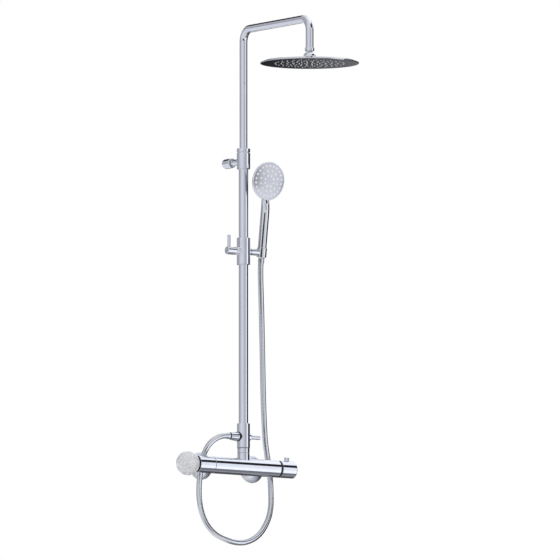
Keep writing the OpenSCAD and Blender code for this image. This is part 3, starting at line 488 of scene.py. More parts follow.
# The two union nuts: hexagonal brass nuts, chromed, with both ends chamfered, that pull
# the bar on to the unions.
nut_r = 17.3
nut_length = 18.5
nut_middle = 33.25
shape = bmesh.new()
for side in (-inlet_x, inlet_x):
    nut = bmesh.new()
    bmesh.ops.create_cone(
        nut, cap_ends=True, segments=6, radius1=nut_r / 1000, radius2=nut_r / 1000, depth=nut_length / 1000,
        matrix=Matrix.Rotation(math.radians(30), 4, "Z"),
    )
    ease_edges(nut, nut.edges[:], 0.8)
    add_to(shape, nut, axis_at((side, nut_middle, 0), to_wall))
piece("chromed_union_nuts", shape, chrome, "column", "chrome", "union_nuts")

# The valve body: one brass bar, cast, bored, turned and chromed, with a threaded foot for
# the riser on top and two threaded inlets behind.
bar_middle = (0, 0, 0)
bar_r = 21.5
bar_left = 92
bar_right = 100
boss_foot = 15
inlet_thread_r = 13.2
inlet_thread_end = 34
foot_thread_r = 10
foot_thread_end = 40
shape = bmesh.new()
turn(shape, rod(-bar_left, bar_right, bar_r), axis_at(bar_middle, to_right), sides=128, edge=0.5)
for side in (-inlet_x, inlet_x):
    turn(shape, rod(boss_foot, inlet_thread_end, inlet_thread_r), axis_at((side, 0, 0), to_wall))
turn(shape, rod(boss_foot, foot_thread_end, foot_thread_r), axis_at(bar_middle, up))
piece("chromed_bar", shape, chrome, "column", "chrome", "valve_body")

# The stop ring: a black moulded ring between the bar and the temperature handle. A narrow
# groove parts it from the bar, and it limits how far the handle turns.
ring_width = 5
ring_groove = 1.2
groove_r = 19
ring_bore_r = 12.2
black_rubber = surface(
    "black_rubber", (0.012, 0.012, 0.013), (0.025, 0.025, 0.027), (0.5, 0.68), grain=150.0, bump=0.2
)
shape = bmesh.new()
turn(
    shape, [(0, ring_bore_r), (0, groove_r), (ring_groove, groove_r), (ring_groove, bar_r),
            (ring_width, bar_r), (ring_width, ring_bore_r)],
    axis_at((bar_right, 0, 0), to_right), sides=128, edge=0.3, ring=True,
)
piece("black_stop_ring", shape, black_rubber, "column", "black_rubber", "temperature_stop_ring")

# The flow handle: a brass sleeve, turned and chromed, pushed on the spindle of the flow
# cartridge. It carries the crystal ball on its outer end.
handle_bore_r = 18.5
spindle_r = 4
handle_floor = 119
flow_end = 137
shape = bmesh.new()
turn(
    shape, [(92.8, handle_bore_r), (92.8, bar_r), (flow_end, bar_r), (flow_end, 15.4), (135.6, 14.4),
            (135.6, spindle_r), (handle_floor, spindle_r), (handle_floor, handle_bore_r)],
    axis_at(bar_middle, to_left), sides=128, edge=0.5, ring=True,
)
piece("chromed_flow_handle", shape, chrome, "flow_control", "chrome", "flow_handle")

# Painted shade where the crystal ball meets the flow handle: a thin black ring, coloured like rubber, laid on
# the handle's end under the ball. It draws the dark line of shade there and stands for no solid.
shade_ring_bore_r = 14.2
shade_ring_r = 20.8
shade_ring_end = flow_end + 0.7
shape = bmesh.new()
shade_ring_place = axis_at(bar_middle, to_left)
turn(shape, pipe(flow_end, shade_ring_end, shade_ring_bore_r, shade_ring_r), shade_ring_place, sides=128, edge=0.2, ring=True)
piece("ball_end_painted_shade", shape, black_rubber, "flow_control", "black_rubber")

# The ball knob: a ball of cast crystal resin, frosted, with rings of shallow round dimples
# moulded in it, screwed on to the handle's stud.
ball_r = 30.5
ball_flat_r = 14
ball_flat = math.sqrt(ball_r**2 - ball_flat_r**2)
dimple_r = 25
dimple_depth = 2.4
dimple_rings = ((31, 4), (74, 8), (116, 8))
first_dimple = 10 - 90
dimple_reach = ball_r - dimple_depth + dimple_r
shape = bmesh.new()
bmesh.ops.create_uvsphere(shape, u_segments=160, v_segments=96, radius=ball_r / 1000)
dimples = []
for away, count in dimple_rings:
    for i in range(count):
        across = math.radians(first_dimple + i * 360 / count)
        tilt = math.radians(away)
        dimples.append(Vector((
            math.sin(tilt) * math.cos(across), math.sin(tilt) * math.sin(across), math.cos(tilt),
        )))
for vert in shape.verts:
    out = vert.co.normalized()
    reach = ball_r
    for dimple in dimples:
        facing = out.dot(dimple)
        root = dimple_reach**2 * facing**2 - dimple_reach**2 + dimple_r**2
        if facing > 0 and root > 0:
            reach = min(reach, dimple_reach * facing - math.sqrt(root))
    vert.co = out * reach / 1000
    vert.co.z = max(vert.co.z, -ball_flat / 1000)
bmesh.ops.remove_doubles(shape, verts=shape.verts, dist=least_step)
bmesh.ops.recalc_face_normals(shape, faces=shape.faces)
ball_place = axis_at((-(flow_end + ball_flat), 0, 0), to_left)
bmesh.ops.transform(shape, matrix=ball_place, verts=shape.verts)
crystal = surface("crystal", (0.80, 0.80, 0.815), (0.93, 0.93, 0.94), (0.10, 0.22), grain=30.0, bump=0.1)
crystal_shader = crystal.node_tree.nodes["Principled BSDF"]
crystal_shader.inputs["Transmission Weight"].default_value = 0.2
crystal_shader.inputs["Coat Weight"].default_value = 0.6
crystal_shader.inputs["IOR"].default_value = 1.5
piece("crystal_ball", shape, crystal, "flow_control", "crystal", "ball_knob")

# The temperature handle: a brass handle, turned and chromed, hollow towards the bar, with a
# closed end that is chamfered. The safety button stands in its side.
temperature_start = 105.8
temperature_end = 148.2
end_chamfer = 2.5
shape = bmesh.new()
turn(
    shape, [(134, 0), (134, spindle_r), (handle_floor, spindle_r), (handle_floor, handle_bore_r),
            (temperature_start, handle_bore_r), (temperature_start, bar_r),
            (temperature_end - end_chamfer, bar_r), (temperature_end, bar_r - end_chamfer),
            (temperature_end, 0)],
    axis_at(bar_middle, to_right), sides=128, edge=0.35,
)
piece("chromed_temperature_handle", shape, chrome, "temperature_control", "chrome", "temperature_handle")

# The safety button: a small brass pin, turned and chromed, that stands in the temperature
# handle on its spring. It is pressed in to turn the water hotter.
button_x = 127.5
button_r = 6.15
button_stem_r = 2.5
button_end = 31
shape = bmesh.new()
turn(
    shape, [(12.3, 0), (12.3, button_stem_r), (18.2, button_stem_r), (18.2, button_r),
            (button_end - 1, button_r), (button_end, button_r - 1), (button_end, 0)],
    axis_at((button_x, 0, 0), up), sides=48, edge=0.25,
)
piece("chromed_button", shape, chrome, "safety_button", "chrome", "safety_button")

# The button's spring: a small coil of steel wire that stands under the button in the temperature handle, and
# is squeezed when the button is pressed in. It keeps its CAD shape, on a mesh of its own.
spring = bpy.data.objects["button_spring"]
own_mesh(spring)

# The riser's saddle: a plain brass collar, turned and chromed, that sits on the bar and
# hides the foot thread.
collar_r = 15.5
saddle_foot = 12
saddle_top = 34.3
column_axis = axis_at(bar_middle, up)
shape = bmesh.new()
turn(shape, rod(saddle_foot, saddle_top, collar_r), column_axis, sides=96)
piece("chromed_saddle", shape, chrome, "column", "chrome", "saddle_collar")

# The column nut: a round brass nut, chromed, that turns on the bar's foot thread and pulls
# the diverter down on to it.
column_nut_foot = 34.6
column_nut_bore_r = 10.1
diverter_foot = 48
seal_foot = diverter_foot - 1
shape = bmesh.new()
column_nut = pipe(column_nut_foot, seal_foot, column_nut_bore_r, collar_r)
turn(shape, column_nut, column_axis, sides=96, edge=0.5, ring=True)
piece("chromed_column_nut", shape, chrome, "column", "chrome", "column_nut")

# The swivel seal: a thin ring of black rubber, laid between the column nut and the diverter
# before the nut is tightened.
seal_bore_r = 9.9
seal_r = 15.8
shape = bmesh.new()
turn(shape, pipe(seal_foot, diverter_foot, seal_bore_r, seal_r), column_axis, sides=96, edge=0.2, ring=True)
piece("black_swivel_seal", shape, black_rubber, "column", "black_rubber", "swivel_seal")

# The diverter: a brass body, turned and chromed, that sends the water up the riser or out to
# the hose. The hose's outlet is a boss on its left, with a thread for the outlet nut.
outlet_z = 76.5
diverter_r = 16.5
diverter_top = 110
socket_r = 12.05
socket_floor = 107
outlet_boss_r = 11.5
outlet_boss_end = 21
outlet_thread_r = 8
outlet_thread_end = 33
outlet_axis = axis_at((0, 0, outlet_z), to_left)
shape = bmesh.new()
turn(
    shape, [(diverter_foot, 0), (diverter_foot, diverter_r), (diverter_top, diverter_r),
            (diverter_top, socket_r), (socket_floor, socket_r), (socket_floor, 0)],
    column_axis, sides=96, edge=0.5,
)
turn(shape, [(41.2, 0), (41.2, 12), (43.9, 12), (43.9, 9.8), (49, 9.8), (49, 0)], column_axis, edge=0.2)
turn(
    shape, [(8, 0), (8, outlet_boss_r), (outlet_boss_end, outlet_boss_r), (outlet_boss_end, outlet_thread_r),
            (outlet_thread_end, outlet_thread_r), (outlet_thread_end, 0)],
    outlet_axis,
)
piece("chromed_diverter", shape, chrome, "column", "chrome", "diverter_body")

# Painted shade at the outlet: a thin black ring at the root of the hose's outlet, and a second one between
# the outlet nut and the hose's ferrule. They draw the dark lines of shade at these joints and stand for no
# solid.
root_shade_ring = pipe(9, 17.4, 11.2, 12.7)
ferrule_shade_ring = pipe(39.1, 41.4, 7.1, 8.6)
shape = bmesh.new()
for section in (root_shade_ring, ferrule_shade_ring):
    turn(shape, section, outlet_axis, edge=0.3, ring=True)
piece("outlet_painted_shade_rings", shape, black_rubber, "column", "black_rubber")

# The outlet nut: a conical brass nut, turned and chromed, that screws on to the outlet and
# holds the hose's end on the diverter.
nut_bore_r = 8.1
ferrule_bore_r = 7.6
shape = bmesh.new()
turn(
    shape, [(21.3, nut_bore_r), (21.3, outlet_boss_r), (39, 9.7), (39, ferrule_bore_r), (37, ferrule_bore_r),
            (37, nut_bore_r)],
    outlet_axis, edge=0.5, ring=True,
)
piece("chromed_outlet_nut", shape, chrome, "column", "chrome", "hose_outlet_nut")

# The hose's ferrule: a thin brass sleeve, chromed and crimped on the hose's lower end, with
# a neck that the outlet nut closes round.
ferrule_r = 8
crimp_r = 7.5
shape = bmesh.new()
turn(
    shape, [(35, 0), (35, 7.8), (36.8, 7.8), (36.8, 7), (39.8, 7), (39.8, ferrule_r), (42.6, ferrule_r),
            (43.2, crimp_r), (44.6, crimp_r), (45.2, ferrule_r), (49, ferrule_r), (49, 0)],
    outlet_axis, edge=0.25,
)
piece("chromed_ferrule", shape, chrome, "column", "chrome", "hose_ferrule")

# The diverter's knob: a round brass collar on the diverter's spindle, turned and chromed,
# with a plain pin as its lever.
knob_r = 8
knob_neck_r = 3
pin_r = 5.35
pin_end = 47.7
shape = bmesh.new()
turn(
    shape, [(14, 0), (14, knob_neck_r), (17.3, knob_neck_r), (17.3, knob_r), (20.5, knob_r), (20.5, pin_r),
            (pin_end, pin_r), (pin_end, 0)],
    axis_at((0, 0, outlet_z), to_right), edge=0.5,
)
piece("chromed_diverter_knob", shape, chrome, "diverter_control", "chrome", "diverter_knob")

# The riser: a drawn brass tube, polished and chromed, set into the diverter's socket and
# held by grub screws.
riser_foot = 88
riser_top = 797.7
riser_r = 12
riser_bore_r = 10.5
tube_chrome = surface(
    "tube_chrome", (0.60, 0.615, 0.655), (0.64, 0.655, 0.695), (0.05, 0.09), metal=1.0, grain=30.0,
    stretch=(1, 1, 0.2),
)
shape = bmesh.new()
turn(shape, pipe(riser_foot, riser_top, riser_bore_r, riser_r), column_axis, sides=96, edge=0.3, ring=True)
piece("chromed_riser", shape, tube_chrome, "column", "chromed_tube", "riser_tube")

# The wall bracket's sleeve: a brass sleeve, turned and chromed, held on the riser's top by a
# grub screw. Its upper end is a thread for the lock collar.
sleeve_r = 17
sleeve_foot = 758.75
sleeve_top = 799.25
collar_thread_r = 14
collar_thread_end = 806.7
collet_r = 12.6
collet_seat = sleeve_top - 1.5
sleeve_bore_r = 12.05
shape = bmesh.new()
turn(
    shape, [(sleeve_foot, sleeve_bore_r), (sleeve_foot, sleeve_r), (sleeve_top, sleeve_r),
            (sleeve_top, collar_thread_r), (collar_thread_end, collar_thread_r),
            (collar_thread_end, collet_r), (collet_seat, collet_r), (collet_seat, sleeve_bore_r)],
    column_axis, sides=96, edge=0.5, ring=True,
)
piece("chromed_bracket_sleeve", shape, chrome, "column", "chrome", "bracket_sleeve")

# The bracket's stem: a brass rod, turned and chromed, from the sleeve to the wall. Its thin
# end screws into the boss on the wall.
stem_r = 7.5
stem_thread_r = 5
bracket_axis = axis_at((0, 0, 779), to_wall)
shape = bmesh.new()
stem = [(13, 0), (13, stem_r), (60, stem_r), (60, stem_thread_r), (74, stem_thread_r), (74, 0)]
turn(shape, stem, bracket_axis)
piece("chromed_bracket_stem", shape, chrome, "column", "chrome", "bracket_stem")

# The bracket's cover: a round brass cap, chromed, with a rounded front edge, pushed along
# the stem to hide the boss screwed to the wall.
cover_r = 12.5
cover_bore_r = cover_r - 2
cover_hole_r = 7.7
cover_front = 54
cover_floor = 58
shape = bmesh.new()
turn(
    shape, [(cover_front, cover_hole_r), (cover_front, 9.5), (54.9, 11.6), (57, cover_r), (wall_y, cover_r),
            (wall_y, cover_bore_r), (cover_floor, cover_bore_r), (cover_floor, cover_hole_r)],
    bracket_axis, edge=0.5, ring=True,
)
piece("chromed_bracket_cover", shape, chrome, "column", "chrome", "bracket_cover")

# The lock collar: a plain brass ring, turned and chromed, that screws on the bracket's sleeve
# and closes the collet on the overhead tube.
collar_foot = 801.75
collar_top = 810.25
collar_floor = 807
collar_bore_r = 14.05
collar_hole_r = 10.3
shape = bmesh.new()
turn(
    shape, [(collar_foot, collar_bore_r), (collar_foot, sleeve_r), (collar_top, sleeve_r),
            (collar_top, collar_hole_r), (collar_floor, collar_hole_r), (collar_floor, collar_bore_r)],
    column_axis, sides=96, edge=0.5, ring=True,
)
piece("chromed_lock_collar", shape, chrome, "height_collar", "chrome", "lock_collar")

# The slider: a brass sleeve, turned and chromed, on a nylon bush. A boss on its left carries
# the lock knob, and a shorter one on its right the holder's arm.
slider_z = 549
slider_half = 34
slider_r = 17
slider_bore_r = 14
arm_r = 8.5
knob_boss_end = 23
arm_boss_end = 19.3
shape = bmesh.new()
sleeve = pipe(slider_z - slider_half, slider_z + slider_half, slider_bore_r, slider_r)
turn(shape, sleeve, column_axis, sides=96, edge=0.5, ring=True)
slider_left = axis_at((0, 0, slider_z), to_left)
slider_right = axis_at((0, 0, slider_z), to_right)
turn(shape, [(slider_bore_r, 0), (slider_bore_r, 12), (knob_boss_end, 9.5), (knob_boss_end, 0)], slider_left)
turn(shape, rod(slider_bore_r, arm_boss_end, arm_r), slider_right)
piece("chromed_slider", shape, chrome, "slider", "chrome", "slider_sleeve")

# The lock knob: a plain round brass knob, turned and chromed, screwed into the slider's left
# boss until its end presses the brake shoe on the riser.
lock_r = 10
lock_start = 23.3
lock_end = 50
lock_screw_r = 3.9
shape = bmesh.new()
turn(
    shape, [(15, 0), (15, lock_screw_r), (lock_start, lock_screw_r), (lock_start, lock_r),
            (lock_end - 1, lock_r), (lock_end, lock_r - 1), (lock_end, 0)],
    slider_left,
)
piece("chromed_lock_knob", shape, chrome, "slider_lock", "chrome", "lock_knob")

# The knob's lever: a plain brass pin, chromed, screwed upright into the lock knob's side to
# turn it by.
lever_x = -42.7
lever_r = 4
lever_end = 39.7
shape = bmesh.new()
turn(shape, rod(4, lever_end, lever_r), axis_at((lever_x, 0, slider_z), up), sides=48, edge=0.5)
piece("chromed_lock_lever", shape, chrome, "slider_lock", "chrome", "lock_lever")

# The holder: a brass arm, chromed, that turns on the slider's pin and ends in a tapered cup.
# The cup is slotted on the side away from the riser, so that the hose can be passed into it.
cup_x = 54
cup_lean = math.radians(9)
cup_half = 12
cup_r = 12.7
cup_foot_bore_r = 9.9
cup_top_bore_r = 11.5
slot_start = 0.007
slot_half = 0.0083
arm_start = 20.5
arm_end = 44
cup_frame = Matrix.Translation(at(cup_x, 0, slider_z)) @ Matrix.Rotation(cup_lean, 4, "X")
to_cup = cup_frame.inverted()
shape = bmesh.new()
cup = bmesh.new()
turn(
    cup, [(-cup_half, cup_foot_bore_r), (-cup_half, cup_r), (cup_half, cup_r), (cup_half, cup_top_bore_r)],
    cup_frame, sides=96, ring=True,
)


def in_slot(face):
    """Whether a face of the cup lies where the slot is cut."""
    middle = to_cup @ face.calc_center_median()
    return middle.x > slot_start and abs(middle.y) < slot_half


bmesh.ops.delete(cup, geom=[face for face in cup.faces if in_slot(face)], context="FACES")
for side in (-1, 1):
    cut_edges = [e for e in cup.edges if e.is_boundary and all((to_cup @ v.co).y * side > 0 for v in e.verts)]
    bmesh.ops.holes_fill(cup, edges=cut_edges, sides=0)
bmesh.ops.recalc_face_normals(cup, faces=cup.faces)
add_to(shape, cup)
turn(shape, rod(arm_start, arm_end, arm_r), slider_right, edge=0.5)
piece("chromed_holder", shape, chrome, "holder", "chrome", "holder_cup")

# The hose's upper end: a conical brass nut, chromed, that sits in the cup, and a slim neck
# below it that the hose comes out of.
handset_turn = math.radians(4)
neck_foot = -26
neck_r = 7.9
neck_bore_r = 7.3
cone_top = 12.6
cone_bore_r = 8.6
cone_floor = -6.1
handset_frame = cup_frame @ Matrix.Rotation(handset_turn, 4, "Z")
shape = bmesh.new()
turn(
    shape, [(neck_foot, neck_bore_r), (neck_foot, neck_r), (-14.5, neck_r), (-12.5, 9.6), (cone_top, 11.2),
            (cone_top, cone_bore_r), (cone_floor, cone_bore_r), (cone_floor, neck_bore_r)],
    handset_frame, ring=True,
)
piece("chromed_cone_nut", shape, chrome, "handset", "chrome", "cone_nut")

# The hand shower: a slim round grip and a round flat head, moulded in one and chromed. The
# grip keeps its width and grows thin from front to back as it runs in behind the head.
head_reach = 0.182
head_lean = math.radians(91)
head_forward = 0.002
head_r = 49
head_depth = 11
grip_r = 0.011
grip_foot = 0.0128
head_frame = (
    handset_frame @ Matrix.Translation((0, 0, head_reach)) @ Matrix.Rotation(head_lean, 4, "X")
    @ Matrix.Translation((0, 0, head_forward))
)
grip_stations = (
    (0.0134, grip_r, grip_r, 0), (0.060, grip_r, grip_r, 0), (0.100, grip_r, grip_r, 0),
    (0.112, grip_r, 0.0106, 0.0003), (0.120, 0.0109, 0.0096, 0.0011), (0.127, 0.0108, 0.0084, 0.0021),
    (0.134, 0.0105, 0.0071, 0.0032), (0.142, 0.0098, 0.0058, 0.0043), (0.150, 0.0086, 0.0047, 0.0052),
    (0.157, 0.0068, 0.0036, 0.0058), (0.162, 0.0040, 0.0022, 0.0060),
)
shape = bmesh.new()
grip = bmesh.new()
ring = bmesh.ops.create_circle(grip, cap_ends=False, segments=96, radius=grip_r)["verts"]
bmesh.ops.translate(grip, vec=(0, 0, grip_foot), verts=ring)
loop = grip.edges[:]
bmesh.ops.contextual_create(grip, geom=loop)


def open_ring(grown):
    """The open end of a tube that is being drawn on: the new edges that bound one face each."""
    return [g for g in grown if isinstance(g, bmesh.types.BMEdge) and len(g.link_faces) == 1]


last_width, last_depth, last_back = grip_r, grip_r, 0
for height, half_width, half_depth, back in grip_stations:
    grown = bmesh.ops.extrude_edge_only(grip, edges=loop)["geom"]
    loop = open_ring(grown)
    for vert in [g for g in grown if isinstance(g, bmesh.types.BMVert)]:
        across = math.atan2((vert.co.y - last_back) / last_depth, vert.co.x / last_width)
        vert.co = (half_width * math.cos(across), back + half_depth * math.sin(across), height)
    last_width, last_depth, last_back = half_width, half_depth, back
bmesh.ops.contextual_create(grip, geom=loop)
bmesh.ops.recalc_face_normals(grip, faces=grip.faces)
add_to(shape, grip, handset_frame)
turn(shape, rod(8, 13.5, 8.5), handset_frame, edge=0.2)
back_dome_r = (head_r**2 + head_depth**2) / (2 * head_depth)
back_dome = [
    (back_dome_r - head_depth - math.sqrt(back_dome_r**2 - r**2), r)
    for r in (0, 8, 16, 24, 31, 37, 42, 46, 48)
]
turn(
    shape, back_dome + [(0.2, head_r), (2, head_r), (2.8, 48.2), (2.8, 46.4), (0.8, 46.3), (0.8, 0)],
    head_frame, sides=128, edge=0.3,
)
shell_chrome = surface(
    "shell_chrome", (0.58, 0.595, 0.635), (0.63, 0.645, 0.685), (0.04, 0.08), metal=1.0, grain=45.0
)
piece("chromed_handset", shape, shell_chrome, "handset", "chromed_shell", "handset_shell")

# The spray plate: a satin plate, slightly domed, that is set into the head's rim. The
# nozzles stand on it in three rings.
plate_r = 46.2
plate_crown = 6.1
plate_fall = 3.6


def plate_height(r):
    """How far the domed plate stands out at a distance from its middle, in millimetres."""
    return plate_crown - plate_fall * (r / plate_r) ** 2


shape = bmesh.new()
plate_front = [(plate_height(r), r) for r in (plate_r, 40, 33, 26, 19, 12, 6, 0)]
turn(shape, [(1, 0), (1, plate_r)] + plate_front, head_frame, sides=128, edge=0.15)
satin_plate = surface(
    "satin_plate", (0.40, 0.40, 0.42), (0.44, 0.44, 0.46), (0.12, 0.17), metal=1.0, grain=70.0
)
piece("satin_spray_plate", shape, satin_plate, "handset", "satin_plate", "spray_plate")

# The spray nozzles: pale silicone, moulded in one mat, and soft so that lime can be rubbed
# off them.
spray_rings = ((13.5, 8), (26, 12), (39, 22))
spray_nozzle_r = 2.8
spray_tip_r = 2.2
pale_silicone = surface(
    "pale_silicone", (0.97, 0.975, 0.985), (0.99, 0.99, 0.995), (0.35, 0.5), grain=200.0, bump=0.1
)
shape = bmesh.new()
for ring_r, count in spray_rings:
    foot = plate_height(ring_r)
    nozzle = [
        (foot - 1, 0), (foot - 1, spray_nozzle_r), (foot + 0.35, spray_nozzle_r), (foot + 0.8, spray_tip_r),
        (foot + 0.85, 0),
    ]
    for i in range(count):
        across = (i + 0.5) * 2 * math.pi / count
        spot = Vector((ring_r / 1000 * math.cos(across), ring_r / 1000 * math.sin(across), 0))
        turn(shape, nozzle, head_frame @ Matrix.Translation(spot), sides=14, edge=0)
piece("pale_spray_nozzles", shape, pale_silicone, "handset", "pale_silicone", "spray_nozzles")

# The overhead tube: one brass tube, bent twice, polished and chromed. It slides in the
# riser and hangs the overhead shower from its far end.
tube_r = 10
bend_r = 32
tube_foot = 575
arm_z = 1113
arm_reach = 325
tube_end = 1030.5
bend_z = arm_z - bend_r
shape = bmesh.new()
ring = bmesh.ops.create_circle(shape, cap_ends=True, segments=64, radius=tube_r / 1000)["verts"]
bmesh.ops.translate(shape, vec=at(0, 0, tube_foot), verts=ring)
loop = shape.edges[:]


def run_straight(loop, x, y, z):
    """Draws the tube's open end on in a straight line, by so many millimetres each way."""
    grown = bmesh.ops.extrude_edge_only(shape, edges=loop)["geom"]
    verts = [g for g in grown if isinstance(g, bmesh.types.BMVert)]
    bmesh.ops.translate(shape, vec=Vector((x, y, z)) / 1000, verts=verts)
    return open_ring(grown)


def run_bend(loop, centre):
    """Bends the tube's open end through a quarter turn, forwards and down."""
    grown = bmesh.ops.spin(
        shape, geom=loop, cent=centre, axis=(1, 0, 0), angle=math.radians(90), steps=28, use_merge=False
    )["geom_last"]
    return open_ring(grown)


loop = run_straight(loop, 0, 0, bend_z - tube_foot)
loop = run_bend(loop, at(0, -bend_r, bend_z))
loop = run_straight(loop, 0, 2 * bend_r - arm_reach, 0)
loop = run_bend(loop, at(0, bend_r - arm_reach, bend_z))
loop = run_straight(loop, 0, 0, tube_end - bend_z)
bmesh.ops.contextual_create(shape, geom=loop)
bmesh.ops.remove_doubles(shape, verts=shape.verts, dist=rounding)
bmesh.ops.recalc_face_normals(shape, faces=shape.faces)
piece("chromed_overhead_tube", shape, tube_chrome, "overhead_arm", "chromed_tube", "overhead_tube")

# The ball stud: a brass nut screwed on the overhead tube's end, with a ball turned on its
# lower side, and chromed.
ball_z = 1018.5
joint_r = 9
stud_nut_r = 12
stud_bore_r = 10.05
stud_neck_r = 5.5
neck_angles = range(6, 143, 6)
rain_axis = axis_at((0, -arm_reach, 0), up)
shape = bmesh.new()
turn(
    shape, [(1027, 0), (1028, stud_neck_r), (1028, 11), (1029, stud_nut_r), (1035.5, stud_nut_r),
            (1035.5, 11.3), (1037.4, 11.3), (1038, 10.6), (1038, stud_bore_r), (1032, stud_bore_r),
            (1032, 0)],
    rain_axis, edge=0.3,
)
ball = [
    (ball_z - joint_r * math.cos(math.radians(a)), joint_r * math.sin(math.radians(a))) for a in neck_angles
]
neck = [(1025.8, stud_neck_r), (1029, stud_neck_r), (1029, 0)]
turn(shape, [(ball_z - joint_r, 0)] + ball + neck, rain_axis, edge=0)
piece("chromed_ball_stud", shape, chrome, "overhead_arm", "chrome", "ball_stud")

# The ball cap: a brass cap, turned and chromed, that closes round the ball and screws on the
# overhead shower's hub. It lets the shower tilt.
cap_foot = 1007.5
cap_top = 1024.5
cap_r = 15.8
cap_bore_r = 13.1
cap_floor = 1015.8
shape = bmesh.new()
turn(
    shape, [(cap_foot, cap_bore_r), (cap_foot, cap_r), (1015.5, cap_r), (1020.5, 14.2), (cap_top, 10.5),
            (cap_top, 9.1), (1021, 10.6), (cap_floor, 11.2), (cap_floor, cap_bore_r)],
    rain_axis, sides=96, edge=0.5, ring=True,
)
piece("chromed_ball_cap", shape, chrome, "rain_head", "chrome", "ball_cap")

# The overhead shower's pan: a thin round steel pressing, polished, with a bevelled rim and
# a hub in its middle that the ball joint's cap is screwed on.
base = 996.6
pan_r = 125
rim_bore_r = 123.6
face_seat = base + 1.6
hub_r = 12.9
hub_foot = base + 10.9
hub_top = 1009
polished_steel = surface(
    "polished_steel", (0.52, 0.53, 0.56), (0.58, 0.59, 0.62), (0.05, 0.10), metal=1.0, grain=35.0
)
shape = bmesh.new()
turn(
    shape, [(face_seat, 0), (face_seat, rim_bore_r), (base, rim_bore_r), (base, pan_r), (base + 2.6, pan_r),
            (base + 6, 116), (base + 8.6, 60), (base + 9.9, 17.8), (hub_foot, 15.8), (hub_foot, hub_r),
            (hub_top, hub_r), (hub_top, 0)],
    rain_axis, sides=192, edge=0.3,
)
piece("polished_pan", shape, polished_steel, "rain_head", "polished_steel", "rain_pan")

# The overhead shower's face: a flat round steel plate, stamped and polished, that closes the
# pan from below.
face_r = 123.4
face_top = base + 1.5
shape = bmesh.new()
turn(shape, rod(base, face_top, face_r), rain_axis, sides=192, edge=0.2)
piece("polished_face", shape, polished_steel, "rain_head", "polished_steel", "rain_face")

# The rain nozzles: pale silicone nipples, moulded in one mat behind the plate, that stand out of its face in
# six rings. They are coloured greyer than the hand shower's nozzles: painted shade for their place under the
# shower.
rain_rings = ((12, 6), (27, 12), (42, 18), (57, 20), (72, 24), (87, 28))
rain_nozzle_r = 1.8
rain_tip = base - 0.8
nozzle = [(rain_tip, 0), (rain_tip, 1.2), (base, rain_nozzle_r), (face_top, rain_nozzle_r), (face_top, 0)]
shape = bmesh.new()
for ring_r, count in rain_rings:
    for i in range(count):
        across = (i + 0.5) * 2 * math.pi / count
        spot = (ring_r * math.cos(across), -arm_reach + ring_r * math.sin(across), 0)
        turn(shape, nozzle, axis_at(spot, up), sides=12, edge=0)
# A greyer copy of the pale silicone: painted shade.
pale_silicone_painted_shade = surface(
    "pale_silicone_painted_shade", (0.70, 0.70, 0.71), (0.76, 0.76, 0.77), (0.35, 0.5), grain=200.0, bump=0.1
)
piece("pale_rain_nozzles", shape, pale_silicone_painted_shade, "rain_head", "pale_silicone", "rain_nozzle_mat")

# The pieces inside, which are seen only through gaps and from behind, keep their turned
# shapes: brass cartridges and spindles, steel screws, nylon bushes and rubber seals.
brass = surface("brass", (0.62, 0.42, 0.16), (0.75, 0.54, 0.24), (0.22, 0.34), metal=1.0, grain=60.0)
bright_steel = surface(
    "bright_steel", (0.42, 0.43, 0.45), (0.55, 0.56, 0.58), (0.22, 0.36), metal=1.0, grain=80.0
)
white_nylon = surface(
    "white_nylon", (0.72, 0.72, 0.70), (0.80, 0.80, 0.78), (0.42, 0.55), grain=120.0, bump=0.15
)
inside = (
    (brass, (
        "flow_cartridge", "thermostat_cartridge", "flow_spindle", "temperature_spindle", "hose_end_fitting",
    )),
    (chrome, ("diverter_cartridge", "knob_stud")),
    (bright_steel, ("grub_screws", "wall_boss", "button_spring", "holder_pivot")),
    (white_nylon, ("check_valves", "slider_bush", "gland_collet", "guide_bush", "ball_seat")),
    (black_rubber, (
        "sealing_washers", "handset_washer", "pivot_washer", "tube_seals", "ball_seal", "brake_shoe",
    )),
)
for material, names in inside:
    for name in names:
        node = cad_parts[name]
        node.data.materials.clear()
        node.data.materials.append(material)

# The floor: a plain pale disc, well below the column, which hangs on a wall. Polished metal
# doesn't mirror it.
floor_z = -900
floor_r = 2.4
floor_mesh = bpy.data.meshes.new("floor")
floor_maker = bmesh.new()
bmesh.ops.create_circle(floor_maker, cap_ends=True, segments=96, radius=floor_r)
bmesh.ops.translate(floor_maker, vec=at(0, -250, floor_z), verts=floor_maker.verts)
floor_maker.to_mesh(floor_mesh)
floor_maker.free()
floor = bpy.data.objects.new("floor", floor_mesh)
bpy.context.scene.collection.objects.link(floor)
floor_finish = surface("floor_finish", (0.78, 0.78, 0.78), (0.82, 0.82, 0.82), (0.75, 0.9), grain=8.0)
floor_mesh.materials.append(floor_finish)
floor.visible_glossy = False

# The studio's panels: what polished chrome mirrors. A graded wall round the left and the
# front, a bright window to the right, a dark wall beyond it, and a batten under the ceiling.
panel_rows = 6
panel_columns = 36
brightest = 1.5


